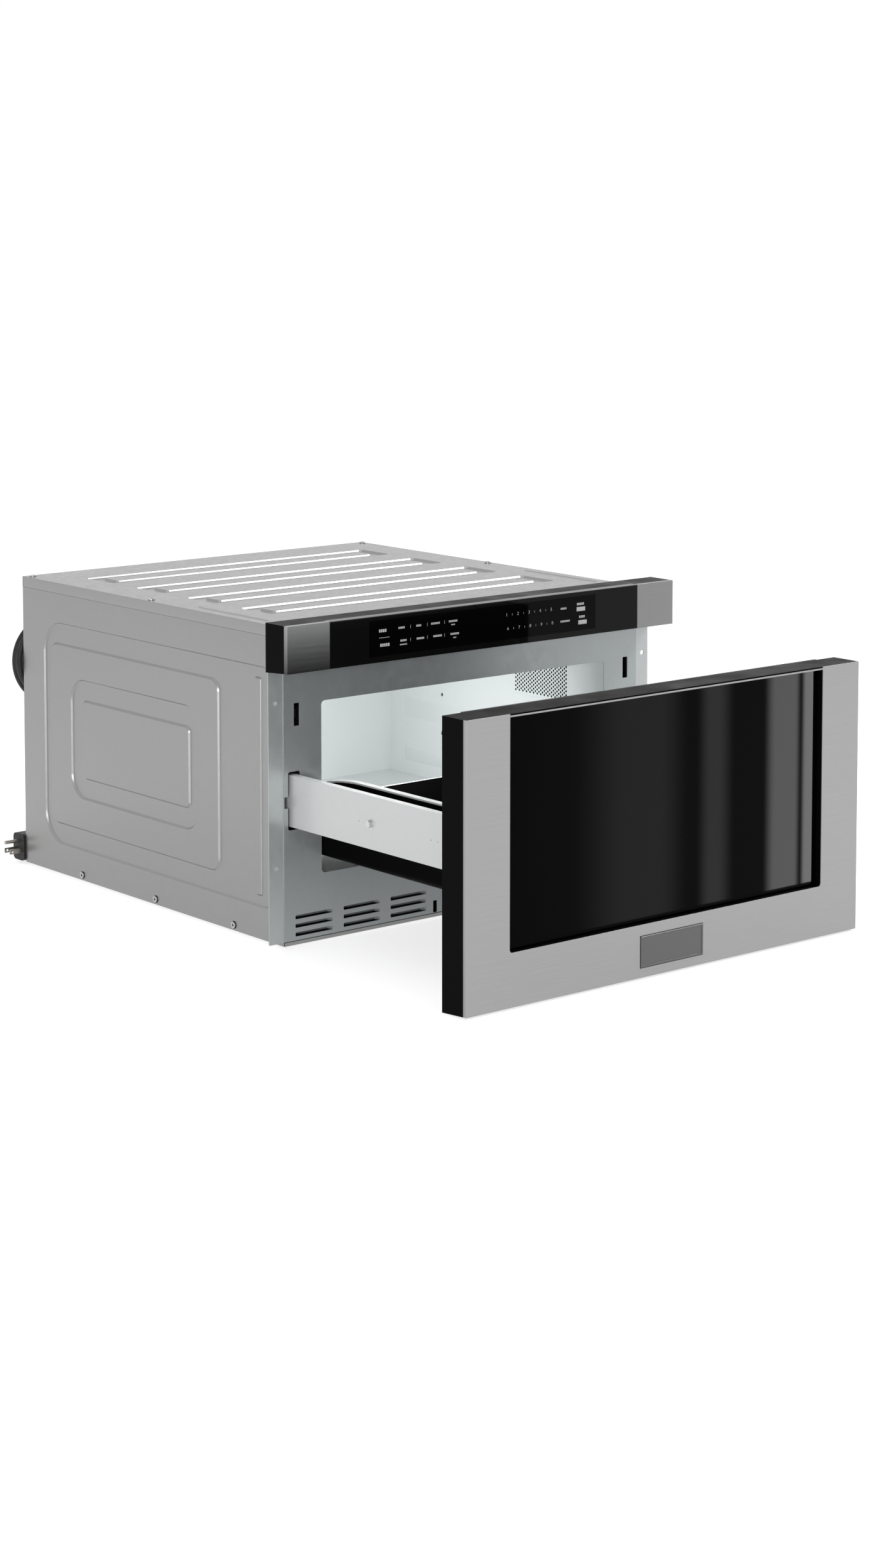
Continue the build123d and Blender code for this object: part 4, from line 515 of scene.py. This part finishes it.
def dress_solids(finishes):
    """Give every solid the finish of its slot in the record."""
    for subpart in frame["record"]["subparts"]:
        node = frame["nodes"][subpart["node"]]
        node.data.materials.clear()
        node.data.materials.append(finishes[subpart["material_slot"]])
    # The left end cap gets a painted reflection: its brushed steel darkens towards the bottom.
    low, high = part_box("end_cap_left")
    left_cap = brushed("end_cap_painted_reflection", (0.34, 0.345, 0.345), 0.6, shade=(low.z, high.z, 0.12))
    frame["nodes"]["end_cap_left"].data.materials[0] = left_cap
    frame["nodes"]["end_cap_right"].data.materials[0] = brushed("end_cap_satin", (0.25, 0.25, 0.25), 0.6)


# ================================================================ mesh helpers
def link(name, data):
    piece = bpy.data.objects.new(name, data)
    bpy.context.scene.collection.objects.link(piece)
    return piece


def built(name, build, material, body="cabinet"):
    """Mesh object made by build(bm), with its finish, slot and body."""
    bm = bmesh.new()
    build(bm)
    bmesh.ops.remove_doubles(bm, verts=bm.verts, dist=MERGE)
    mesh = bpy.data.meshes.new(name)
    bm.to_mesh(mesh)
    bm.free()
    mesh.materials.append(material)
    piece = link(name, mesh)
    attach(piece, body)
    return piece


def smooth(piece, angle=SMOOTH_ANGLE):
    piece.data.shade_smooth()
    piece.data.set_sharp_from_angle(angle=math.radians(angle))


def thicken(piece, thickness=SHEET, offset=-1):
    """Give a sheet its thickness: inwards, or half to each side with an offset of 0."""
    wall = piece.modifiers.new("wall", "SOLIDIFY")
    wall.thickness = thickness
    wall.offset = offset


def finish_pressed(piece):
    """Round a pressed sheet's bends, give it its thickness and even out its shading."""
    rounding = piece.modifiers.new("bends", "BEVEL")
    rounding.width = BEND
    rounding.segments = BEND_STEPS
    rounding.limit_method = "ANGLE"
    rounding.angle_limit = math.radians(BEND_ANGLE)
    thicken(piece)
    smooth(piece)
    normals = piece.modifiers.new("normals", "WEIGHTED_NORMAL")
    normals.keep_sharp = True


def turn_faces(bm, way):
    """Flip every face that looks away from way."""
    for face in bm.faces:
        face.normal_update()
        if face.normal.dot(way) < 0:
            face.normal_flip()


def brick(bm, low, high):
    """Closed box between two corners."""
    size = Vector(high) - Vector(low)
    middle = (Vector(high) + Vector(low)) / 2
    made = bmesh.ops.create_cube(bm, size=1)
    bmesh.ops.scale(bm, vec=size, verts=made["verts"])
    bmesh.ops.translate(bm, vec=middle, verts=made["verts"])


def rounded(limits_u, limits_v, corner):
    """Points of a rounded rectangle, counter-clockwise from its right side's upper end."""
    low_u, high_u = limits_u
    low_v, high_v = limits_v
    centres = (
        (high_u - corner, high_v - corner),
        (low_u + corner, high_v - corner),
        (low_u + corner, low_v + corner),
        (high_u - corner, low_v + corner),
    )
    points = []
    for quarter, (u, v) in enumerate(centres):
        for step in range(CORNER_STEPS + 1):
            angle = math.pi / 2 * (quarter + step / CORNER_STEPS)
            points.append((u + corner * math.cos(angle), v + corner * math.sin(angle)))
    return points


def shrunk(limits, inset):
    return (limits[0] + inset, limits[1] - inset)


def nested_sheet(bm, loops, place):
    """Sheet of nested loops, each (points, height); place(u, v, height) gives its point in space."""
    rings = []
    for points, height in loops:
        rings.append([bm.verts.new(place(u, v, height)) for u, v in points])
    count = len(rings[0])
    for outer, inner in zip(rings, rings[1:]):
        for index in range(count):
            after = (index + 1) % count
            bm.faces.new((outer[index], outer[after], inner[after], inner[index]))
    bm.faces.new(rings[-1])


def pressing(limits_u, limits_v, corner, slope, start, end):
    """Two loops across which a sheet goes from the height start to the height end."""
    inner_corner = max(corner - slope, LEAST_CORNER * corner)
    return [
        (rounded(limits_u, limits_v, corner), start),
        (rounded(shrunk(limits_u, slope), shrunk(limits_v, slope), inner_corner), end),
    ]


# ================================================================ cabinet sheets
def side_sheet(bm, side):
    """Outer face of a side panel, with its nested pressings and the bead near the front."""
    def place(u, v, height):
        return (side * (HALF + height), FRONT_Y + u, v)

    def bead_place(u, v, height):
        return (side * (HALF - PRESS_DEPTH + height), FRONT_Y + u, v)

    top = SKIRT_BOTTOM - SKIRT_GAP
    loops = [(rounded((SHEET, REAR_INSIDE - FRONT_Y), (0, top), 0), 0)]
    for (front, rear), (low, high), corner, inward in SIDE_PRESSINGS:
        start, end = (0, -PRESS_DEPTH) if inward else (-PRESS_DEPTH, 0)
        limits = (front * MM, rear * MM), (low * MM, high * MM), corner * MM
        loops += pressing(*limits, PRESS_SLOPE, start, end)
    nested_sheet(bm, loops, place)
    (front, rear), (low, high), corner = SIDE_BEAD
    limits = (front * MM, rear * MM), (low * MM, high * MM), corner * MM
    nested_sheet(bm, pressing(*limits, BEAD_SLOPE, 0, BEAD_HEIGHT), bead_place)
    bmesh.ops.recalc_face_normals(bm, faces=bm.faces)
    turn_faces(bm, Vector((side, 0, 0)))


def flange_sheet(bm, side):
    """Mounting flange with its two holes: one panel round each hole, and one above, between and below."""
    y = PLATE_BACK
    low_x, high_x = HALF - SHEET, HALF + FLANGE_REACH
    top = SKIRT_BOTTOM - SKIRT_GAP
    cuts = [FLANGE_LOW]
    for hole in FLANGE_HOLES:
        cuts += [hole - FLANGE_HOLE_BAND, hole + FLANGE_HOLE_BAND]
    cuts.append(top)
    hole_x = high_x - FLANGE_HOLE_INSET
    for index, (low, high) in enumerate(zip(cuts, cuts[1:])):
        corners = [(low_x, low), (high_x, low), (high_x, high), (low_x, high)]
        if index % 2 == 0:
            bm.faces.new([bm.verts.new((side * x, y, z)) for x, z in corners])
            continue
        middle = (low + high) / 2
        outer = [bm.verts.new((side * x, y, z)) for x, z in rounded((low_x, high_x), (low, high), 0)]
        count = len(outer)
        inner = []
        for step in range(count):
            quarter, within = divmod(step, CORNER_STEPS + 1)
            angle = math.pi / 2 * (quarter + (within + 0.5) / (CORNER_STEPS + 1))
            x = hole_x + FLANGE_HOLE_R * math.cos(angle)
            z = middle + FLANGE_HOLE_R * math.sin(angle)
            inner.append(bm.verts.new((side * x, y, z)))
        for step in range(count):
            after = (step + 1) % count
            bm.faces.new((outer[step], outer[after], inner[after], inner[step]))
    turn_faces(bm, Vector((0, -1, 0)))


def make_side_panels(finishes):
    # The mounting flanges get a lighter copy of the galvanised sheet: painted light.
    flange_painted_light_finish = zinc("flange_painted_light", (0.60, 0.63, 0.63), 0.3)
    for name, side in (("left", -1), ("right", 1)):
        finish = finishes["galvanised_sheet"]
        panel = built(f"pressed_side_{name}", lambda bm: side_sheet(bm, side), finish)
        finish_pressed(panel)
        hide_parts(f"side_panel_{name}")
        flange_name = f"mounting_flange_{name}"
        flange = built(flange_name, lambda bm: flange_sheet(bm, side), flange_painted_light_finish)
        thicken(flange)


def top_sheet(bm):
    """Top cover: a bay for each pressed rib, plain margins in front and behind, and a skirt each side."""
    def place(x, y, height):
        return (x, y, BODY_TOP + height)

    bay_edges = [PLATE_BACK]
    for rib in range(RIB_COUNT):
        middle = FRONT_Y + RIB_FIRST + rib * RIB_PITCH
        low, high = middle - RIB_PITCH / 2, middle + RIB_PITCH / 2
        loops = [(rounded((-HALF, HALF), (low, high), 0), 0)]
        outer = (-RIB_HALF_X, RIB_HALF_X), (middle - RIB_HALF_Y, middle + RIB_HALF_Y)
        loops += pressing(*outer, RIB_CORNER, PRESS_SLOPE, 0, -PRESS_DEPTH)
        inner = shrunk(outer[0], RIB_BAND), shrunk(outer[1], RIB_BAND)
        loops += pressing(*inner, RIB_CORNER, PRESS_SLOPE, -PRESS_DEPTH, 0)
        nested_sheet(bm, loops, place)
        if rib == 0:
            bay_edges.append(low)
    bay_edges += [high, REAR_Y]
    for low, high in (bay_edges[:2], bay_edges[2:]):
        corners = ((-HALF, low), (HALF, low), (HALF, high), (-HALF, high))
        bm.faces.new([bm.verts.new(place(x, y, 0)) for x, y in corners])
    skirt_stops = [PLATE_BACK]
    for rib in range(RIB_COUNT + 1):
        skirt_stops.append(FRONT_Y + RIB_FIRST + (rib - 0.5) * RIB_PITCH)
    skirt_stops.append(REAR_Y)
    for side in (-1, 1):
        for start, stop in zip(skirt_stops, skirt_stops[1:]):
            drop = SKIRT_BOTTOM - BODY_TOP
            corners = ((start, 0), (stop, 0), (stop, drop), (start, drop))
            bm.faces.new([bm.verts.new((side * HALF, y, BODY_TOP + z)) for y, z in corners])
    bmesh.ops.remove_doubles(bm, verts=bm.verts, dist=MERGE)
    bmesh.ops.recalc_face_normals(bm, faces=bm.faces)
    if sum(face.normal.z for face in bm.faces) < 0:
        bmesh.ops.reverse_faces(bm, faces=bm.faces)


def top_creases(bm):
    """A narrow raised crease along each side of the top, behind the control panel."""
    def place(x, y, height):
        return (x, FRONT_Y + y, BODY_TOP + height)

    for side in (-1, 1):
        limits_x = tuple(sorted(side * edge for edge in CREASE_X))
        loops = pressing(limits_x, CREASE_BEHIND, CREASE_CORNER, CREASE_SLOPE, 0, CREASE_HEIGHT)
        nested_sheet(bm, loops, place)
    bmesh.ops.recalc_face_normals(bm, faces=bm.faces)
    turn_faces(bm, Vector((0, 0, 1)))


def make_top_cover(finishes):
    cover = built("pressed_top_cover", top_sheet, finishes["galvanised_sheet"])
    finish_pressed(cover)
    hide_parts("top_cover")
    creases = built("top_creases", top_creases, finishes["galvanised_sheet"])
    smooth(creases, SMALL_SMOOTH_ANGLE)


def louvre_scoops(bm):
    """A tongue behind each slot of the front plate, curving in and down, with slanted ends."""
    for middle in LOUVRE_PLACES:
        for top in LOUVRE_TOPS:
            low_edge = top * MM - LOUVRE_HEIGHT
            rows = []
            for step in range(SCOOP_STEPS + 1):
                turn = math.pi / 2 * step / SCOOP_STEPS
                inward = SCOOP_DEPTH * math.sin(turn)
                z = low_edge + (LOUVRE_HEIGHT + SCOOP_LAP) * math.cos(turn)
                reach = LOUVRE_HALF - SCOOP_TAPER * inward
                y = PLATE_BACK + inward
                rows.append([bm.verts.new((middle * MM + end * reach, y, z)) for end in (-1, 1)])
            for upper, lower in zip(rows, rows[1:]):
                bm.faces.new((upper[0], upper[1], lower[1], lower[0]))
            for end in (0, 1):
                foot = bm.verts.new((rows[0][end].co.x, PLATE_BACK, low_edge))
                rim = [row[end] for row in rows]
                for upper, lower in zip(rim, rim[1:]):
                    bm.faces.new((foot, upper, lower))
    bmesh.ops.recalc_face_normals(bm, faces=bm.faces)


def make_louvres(finishes):
    scoops = built("louvre_scoops", louvre_scoops, finishes["front_galvanised"])
    thicken(scoops, SCOOP_SHEET, 0)
    smooth(scoops, SMALL_SMOOTH_ANGLE)


def cavity_rails(bm):
    """Low pressed rails on the cavity's side walls."""
    for side in (-1, 1):
        def place(u, v, height):
            return (side * (CAVITY_X - height), FRONT_Y + u, v)

        for limits_z in RAIL_HEIGHTS:
            loops = pressing(RAIL_BEHIND, limits_z, RAIL_CORNER, RAIL_SLOPE, 0, RAIL_RAISE)
            nested_sheet(bm, loops, place)
    bmesh.ops.recalc_face_normals(bm, faces=bm.faces)
    for face in bm.faces:
        if face.normal.x * face.calc_center_median().x > 0:
            face.normal_flip()


def make_cavity_rails(finishes):
    rails = built("cavity_rails", cavity_rails, finishes["cavity_enamel"])
    smooth(rails, SMALL_SMOOTH_ANGLE)


def vent_sheet(bm):
    """Perforated part of the right wall: a cell of sheet round each hole, and plain margins."""
    low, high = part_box("vent_screen")
    pitch_y, pitch_z = VENT_PITCH
    first_y, first_z = low.y + VENT_MARGIN, low.z + VENT_MARGIN

    def panel(low_y, high_y, low_z, high_z):
        corners = ((low_y, low_z), (high_y, low_z), (high_y, high_z), (low_y, high_z))
        bm.faces.new([bm.verts.new((low.x, y, z)) for y, z in corners])

    panel(low.y, first_y - pitch_y / 2, low.z, high.z)
    panel(first_y + (VENT_COLUMNS - 0.5) * pitch_y, high.y, low.z, high.z)
    for column in range(VENT_COLUMNS):
        middle_y = first_y + column * pitch_y
        stagger = 0.5 * (column % 2)
        edges = middle_y - pitch_y / 2, middle_y + pitch_y / 2
        panel(*edges, low.z, first_z + (stagger - 0.5) * pitch_z)
        panel(*edges, first_z + (VENT_ROWS + stagger - 0.5) * pitch_z, high.z)
        for row in range(VENT_ROWS):
            middle_z = first_z + (row + stagger) * pitch_z
            outer = []
            inner = []
            for quarter in range(4):
                for step in range(VENT_EDGE_STEPS):
                    along = 2 * step / VENT_EDGE_STEPS - 1
                    across = ((1, along), (-along, 1), (-1, -along), (along, -1))[quarter]
                    y, z = across[0] * pitch_y / 2, across[1] * pitch_z / 2
                    reach = VENT_HOLE_R / math.hypot(y, z)
                    outer.append(bm.verts.new((low.x, middle_y + y, middle_z + z)))
                    inner.append(bm.verts.new((low.x, middle_y + y * reach, middle_z + z * reach)))
            for step in range(len(outer)):
                after = (step + 1) % len(outer)
                bm.faces.new((outer[step], outer[after], inner[after], inner[step]))
    turn_faces(bm, Vector((-1, 0, 0)))


def make_vent(finishes):
    sheet = built("perforated_vent", vent_sheet, finishes["cavity_enamel"])
    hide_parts("vent_screen")
    low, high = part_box("vent_screen")
    # A black sheet just behind the holes stands in for the shade beyond them: painted shade.
    back = (high.x - VENT_SHADE_SHEET, low.y, low.z)
    shade = painted("vent_painted_shade", (0.003, 0.003, 0.003), 0.6, 0.1)
    built("vent_shade_sheet", lambda bm: brick(bm, back, high), shade)


def screw_painted_shadows(bm):
    """Painted shadow: a dark disc under each body screw's head, on the sheet it goes into, and a dark cross
    on the head as the painted shade of its recess.
    """
    source = bmesh.new()
    source.from_mesh(frame["nodes"]["body_screws"].data)
    bmesh.ops.remove_doubles(source, verts=source.verts, dist=SOLID_MERGE)
    waiting = set(source.verts)
    while waiting:
        island = {waiting.pop()}
        frontier = list(island)
        while frontier:
            for link_edge in frontier.pop().link_edges:
                for vert in link_edge.verts:
                    if vert in waiting:
                        waiting.discard(vert)
                        island.add(vert)
                        frontier.append(vert)
        low = Vector([min(vert.co[axis] for vert in island) for axis in range(3)])
        high = Vector([max(vert.co[axis] for vert in island) for axis in range(3)])
        middle = (low + high) / 2
        if high.z > BODY_TOP:
            shadow_middle, way = Vector((middle.x, middle.y, BODY_TOP + SHADOW_DISC_RAISE)), Vector((0, 0, 1))
        elif high.y > REAR_Y:
            shadow_middle, way = Vector((middle.x, REAR_Y + SHADOW_DISC_RAISE, middle.z)), Vector((0, 1, 0))
        else:
            side = math.copysign(1, middle.x)
            shadow_middle, way = Vector((side * (HALF + SHADOW_DISC_RAISE), middle.y, middle.z)), Vector((side, 0, 0))
        turn = way.to_track_quat("Z", "Y").to_matrix().to_4x4()
        made = bmesh.ops.create_circle(bm, cap_ends=True, radius=SHADOW_DISC_R, segments=SHADOW_DISC_STEPS)
        bmesh.ops.transform(bm, matrix=Matrix.Translation(shadow_middle) @ turn, verts=made["verts"])
        for width, height in (SCREW_CROSS_SHADE, SCREW_CROSS_SHADE[::-1]):
            corners = ((-width, -height), (width, -height), (width, height), (-width, height))
            place = Matrix.Translation(shadow_middle + way * SCREW_HEAD) @ turn
            bm.faces.new([bm.verts.new(place @ Vector((x / 2, y / 2, 0))) for x, y in corners])
    source.free()


def make_screw_painted_shadows():
    # dark discs and crosses of painted shade at the body screws
    dark = painted("screw_painted_shadow", (0.03, 0.03, 0.03), 0.5, 0.1)
    built("screw_painted_shadows", screw_painted_shadows, dark)


# ================================================================ control panel's print
def plate(bm, middle_x, middle_z, width, height):
    """Thin printed plate on the control glass, its place and size in millimetres."""
    x, z = middle_x * MM, middle_z * MM
    half_x, half_z = width * MM / 2, height * MM / 2
    low = (x - half_x, PANEL_FRONT - PRINT_RAISE, z - half_z)
    high = (x + half_x, PANEL_FRONT, z + half_z)
    brick(bm, low, high)


def printed_marks(bm):
    """Rows of plain strokes where the touch fields are named, dividers, a line and two small boxes."""
    for middle_x, middle_z, strokes, height in MARKS:
        width = height * STROKE_SHARE
        pitch = width * (1 + STROKE_GAP)
        for stroke in range(strokes):
            x = middle_x + (stroke - (strokes - 1) / 2) * pitch
            plate(bm, x, middle_z, width, height)
    for row_z in DIVIDER_ROWS:
        for x in DIVIDERS:
            plate(bm, x, row_z, *DIVIDER_SIZE)
    for digits, first_x, row_z in DIGIT_ROWS:
        for index in range(len(digits) - 1):
            x = first_x + index * DIGIT_PITCH + DIGIT_DIVIDER_OFFSET
            plate(bm, x, row_z, *DIGIT_DIVIDER_SIZE)
    (low, high), line_z = STACK_LINE
    plate(bm, (low + high) / 2, line_z, high - low, STACK_LINE_WIDTH)
    for x, z in BOXES:
        plate(bm, x, z, *BOX_SIZE)


def panel_digits(bm):
    """The plain digits 1 to 9 and 0, cut from a text outline."""
    for digits, first_x, row_z in DIGIT_ROWS:
        for index, digit in enumerate(digits):
            text = bpy.data.curves.new("digit", "FONT")
            text.body = digit
            text.size = DIGIT_HEIGHT
            text.align_x = "CENTER"
            text.align_y = "CENTER"
            text.extrude = PRINT_RAISE
            holder = link("digit", text)
            bpy.context.view_layer.update()
            shaped = holder.evaluated_get(bpy.context.evaluated_depsgraph_get())
            mesh = bpy.data.meshes.new_from_object(shaped)
            place = Matrix.Translation(((first_x + index * DIGIT_PITCH) * MM, PANEL_FRONT, row_z * MM))
            mesh.transform(place @ Matrix.Rotation(math.pi / 2, 4, "X"))
            bm.from_mesh(mesh)
            bpy.data.meshes.remove(mesh)
            bpy.data.objects.remove(holder)
            bpy.data.curves.remove(text)


def display_window(bm):
    low = (WINDOW_X[0], PANEL_FRONT - WINDOW_RAISE, WINDOW_Z[0])
    high = (WINDOW_X[1], PANEL_FRONT, WINDOW_Z[1])
    brick(bm, low, high)


def make_panel_print():
    white = painted("panel_print_white", (0.78, 0.78, 0.78), 0.45)
    window = dark_glass("display_window_black", (0.0025, 0.0025, 0.0025), 0.04)
    built("panel_display_window", display_window, window)
    built("panel_printed_marks", printed_marks, white)
    built("panel_digits", panel_digits, white)


# ================================================================ badge
def outline(bm, low, high, width, front_y, raise_y):
    """Flat ring of four strips that runs inside a rectangle's edge."""
    low_x, low_z = low
    high_x, high_z = high
    back = front_y + raise_y
    brick(bm, (low_x, front_y, low_z), (high_x, back, low_z + width))
    brick(bm, (low_x, front_y, high_z - width), (high_x, back, high_z))
    brick(bm, (low_x, front_y, low_z + width), (low_x + width, back, high_z - width))
    brick(bm, (high_x - width, front_y, low_z + width), (high_x, back, high_z - width))


def badge_gap_shade(bm):
    """Painted shade of the gap round the blank badge, where it sits on the door: a flat dark ring."""
    badge_low, badge_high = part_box("badge_plate")
    skin_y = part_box("door_skin")[0].y
    low = (badge_low.x - BADGE_GAP_SHADE, badge_low.z - BADGE_GAP_SHADE)
    high = (badge_high.x + BADGE_GAP_SHADE, badge_high.z + BADGE_GAP_SHADE)
    outline(bm, low, high, BADGE_GAP_SHADE, skin_y - PRINT_RAISE, 2 * PRINT_RAISE)


def make_badge_gap_shade():
    # the gap round the badge as a flat ring of painted shade
    dark = painted("badge_gap_painted_shade", (0.02, 0.02, 0.02), 0.5, 0.1)
    built("badge_gap_shade_ring", badge_gap_shade, dark, "drawer")


# ================================================================ supply cord
def coil_points():
    """Control points of the coil's half turns: three far ones, the climb in the fourth, near ones after."""
    swell = 1 / math.cos(math.pi / TURN_POINTS / 2)
    climb_turn = COIL_HALF_TURNS // 2
    start_x = GLAND_X
    points = []
    for turn in range(COIL_HALF_TURNS):
        radius = COIL_RADIUS - CORD_PITCH / 2 * min(turn, COIL_HALF_TURNS - turn)
        heading = 1 if turn % 2 else -1
        middle_x = start_x + heading * radius
        for step in range(TURN_POINTS):
            share = (step + 0.5) / TURN_POINTS
            angle = math.pi * share
            x = middle_x - heading * radius * swell * math.cos(angle)
            z = COIL_Z + heading * radius * swell * math.sin(angle)
            climbed = 0 if turn < climb_turn else share if turn == climb_turn else 1
            points.append((x, FAR_Y + (NEAR_Y - FAR_Y) * climbed, z))
        start_x = middle_x + heading * radius
    return points


def cord_route():
    """Points from the gland's sleeve through the coil and down to the plug."""
    tail = [(GLAND_X, FAR_Y, SLEEVE_LOW), (GLAND_X, FAR_Y, TAIL_LOW)]
    return [Vector(point) * MM for point in tail + coil_points() + list(LEAD_POINTS)]


def make_cord(finishes):
    curve = bpy.data.curves.new("supply_cord", "CURVE")
    curve.dimensions = "3D"
    curve.bevel_depth = CORD_D / 2
    curve.bevel_resolution = 5
    curve.resolution_u = 8
    spline = curve.splines.new("NURBS")
    route = cord_route()
    spline.points.add(len(route) - 1)
    for point, place in zip(spline.points, route):
        point.co = (*place, 1)
    spline.order_u = 3
    spline.use_endpoint_u = True
    curve.materials.append(finishes["cord_black"])
    cord = link("supply_cord", curve)
    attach(cord, "cabinet")
    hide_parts("cord_tail", "cord_coil", "plug_lead")


# ================================================================ studio
def flat_mesh(name, corners, material):
    """Mesh of one flat face through four corners."""
    bm = bmesh.new()
    bm.faces.new([bm.verts.new(corner) for corner in corners])
    mesh = bpy.data.meshes.new(name)
    bm.to_mesh(mesh)
    bm.free()
    mesh.materials.append(material)
    return mesh


def glowing(name, kind):
    """Material of a plain shader of one kind with a glow added; gives it and the two shaders."""
    material = bpy.data.materials.new(name)
    material.use_nodes = True
    tree = material.node_tree
    tree.nodes.remove(tree.nodes["Principled BSDF"])
    plain = tree.nodes.new(kind)
    glow = tree.nodes.new("ShaderNodeEmission")
    both = tree.nodes.new("ShaderNodeAddShader")
    tree.links.new(plain.outputs[0], both.inputs[0])
    tree.links.new(glow.outputs[0], both.inputs[1])
    tree.links.new(both.outputs[0], tree.nodes["Material Output"].inputs["Surface"])
    return material, plain, glow


def make_floor():
    """White floor that keeps the object's shadow, and glows to white where it is seen directly."""
    material, paper, glow = glowing("studio_floor", "ShaderNodeBsdfDiffuse")
    tree = material.node_tree
    paper.inputs["Color"].default_value = (FLOOR_COLOR, FLOOR_COLOR, FLOOR_COLOR, 1)
    tree.links.new(seen_directly(tree, FLOOR_GLOW), glow.inputs["Strength"])
    signs = ((-1, -1), (1, -1), (1, 1), (-1, 1))
    corners = [(x * FLOOR_REACH, y * FLOOR_REACH, cad_box[0][2]) for x, y in signs]
    mesh = flat_mesh("studio_floor", corners, material)
    link("studio_floor", mesh)


def band_card():
    """Tall glowing card with soft upright bands, seen by the door glass alone.

    A band stands where the glass reflects it to the camera's place.
    """
    glass = frame["nodes"]["door_glass"]
    glass_low, glass_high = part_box("door_glass")
    card_y = glass_low.y - BAND_CARD_GAP
    spread = BAND_CARD_GAP / (glass_low.y - CAMERA_PLACE[1])

    def mirrored(x):
        return x + spread * (x - CAMERA_PLACE[0])

    low_x, high_x = mirrored(glass_low.x), mirrored(glass_high.x)
    material, _, glow = glowing("band_card", "ShaderNodeBsdfTransparent")
    tree = material.node_tree
    place = tree.nodes.new("ShaderNodeTexCoord")
    parts = tree.nodes.new("ShaderNodeSeparateXYZ")
    share = tree.nodes.new("ShaderNodeMapRange")
    share.inputs["From Min"].default_value = low_x
    share.inputs["From Max"].default_value = high_x
    ramp = tree.nodes.new("ShaderNodeValToRGB")
    ramp.color_ramp.interpolation = "EASE"
    brightest = max(level for *_, level in GLASS_BANDS)
    stops = []
    for begins, full, wanes, ends, level in GLASS_BANDS:
        stops += [(begins, BAND_FLOOR), (full, level), (wanes, level), (ends, BAND_FLOOR)]
    for x, level in stops:
        position = (mirrored(x * MM) - low_x) / (high_x - low_x)
        element = ramp.color_ramp.elements.new(min(max(position, RAMP_ENDS[0]), RAMP_ENDS[1]))
        element.color = (level / brightest, level / brightest, level / brightest, 1)
    glow.inputs["Strength"].default_value = brightest
    tree.links.new(place.outputs["Object"], parts.inputs[0])
    tree.links.new(parts.outputs["X"], share.inputs["Value"])
    tree.links.new(share.outputs[0], ramp.inputs[0])
    tree.links.new(ramp.outputs[0], glow.inputs["Color"])

    floor_z = cad_box[0][2]
    edges = ((low_x, floor_z), (high_x, floor_z), (high_x, BAND_CARD_HEIGHT), (low_x, BAND_CARD_HEIGHT))
    mesh = flat_mesh("band_card", [(x, card_y, z) for x, z in edges], material)
    card = link("band_card", mesh)
    card.visible_camera = False
    card.visible_diffuse = False
    card.visible_transmission = False
    card.visible_shadow = False
    seen_by = bpy.data.collections.new("door_glass_only")
    seen_by.objects.link(glass)
    card.light_linking.receiver_collection = seen_by


def seen_directly(tree, strength, otherwise=0.0):
    """strength where the camera, a reflection or clear glass sees it, and otherwise elsewhere."""
    path = tree.nodes.new("ShaderNodeLightPath")
    total = path.outputs["Is Camera Ray"]
    for kind in ("Is Glossy Ray", "Is Transmission Ray"):
        either = tree.nodes.new("ShaderNodeMath")
        either.operation = "MAXIMUM"
        tree.links.new(total, either.inputs[0])
        tree.links.new(path.outputs[kind], either.inputs[1])
        total = either.outputs[0]
    node = tree.nodes.new("ShaderNodeMapRange")
    node.inputs["To Min"].default_value = otherwise
    node.inputs["To Max"].default_value = strength
    tree.links.new(total, node.inputs["Value"])
    return node.outputs[0]


def make_world():
    world = bpy.data.worlds.new("studio")
    bpy.context.scene.world = world
    world.use_nodes = True
    background = world.node_tree.nodes["Background"]
    background.inputs["Color"].default_value = (1, 1, 1, 1)
    world.node_tree.links.new(seen_directly(world.node_tree, 1.0, WORLD_LIGHT), background.inputs["Strength"])


def softbox(name, place, aim, size, power):
    """Soft area light, size wide and high, that faces aim."""
    data = bpy.data.lights.new(name, "AREA")
    data.shape = "RECTANGLE"
    data.size, data.size_y = size
    data.energy = power
    lamp = link(name, data)
    lamp.location = place
    lamp.rotation_euler = (Vector(aim) - Vector(place)).to_track_quat("-Z", "Y").to_euler()
    lamp.visible_camera = False
    return lamp


def make_lights():
    """Studio softboxes, and a weak light inside the open cavity that no reflection shows."""
    for name, (place, size, power) in SOFTBOXES.items():
        softbox(name, place, AIM, (size, size), power)
    place = Vector(CAVITY_LIGHT_PLACE)
    aim = place + Vector(CAVITY_LIGHT_WAY)
    inside = softbox("cavity_light", place, aim, CAVITY_LIGHT_SIZE, CAVITY_LIGHT_POWER)
    inside.visible_glossy = False


def make_camera():
    data = bpy.data.cameras.new("camera")
    data.lens = LENS
    data.sensor_width = SENSOR
    data.shift_y = CAMERA_SHIFT
    camera = link("camera", data)
    camera.location = CAMERA_PLACE
    camera.rotation_euler = (math.radians(90 - CAMERA_DIP), 0, -math.radians(CAMERA_TURN))
    bpy.context.scene.camera = camera


# ================================================================ the scene
finishes = make_finishes()
dress_solids(finishes)
make_side_panels(finishes)
make_top_cover(finishes)
make_louvres(finishes)
make_cavity_rails(finishes)
make_vent(finishes)
make_screw_painted_shadows()
make_panel_print()
make_badge_gap_shade()
make_cord(finishes)
make_floor()
make_world()
make_lights()
band_card()
make_camera()
bpy.context.scene.view_settings.view_transform = "Standard"

bpy.context.view_layer.update()
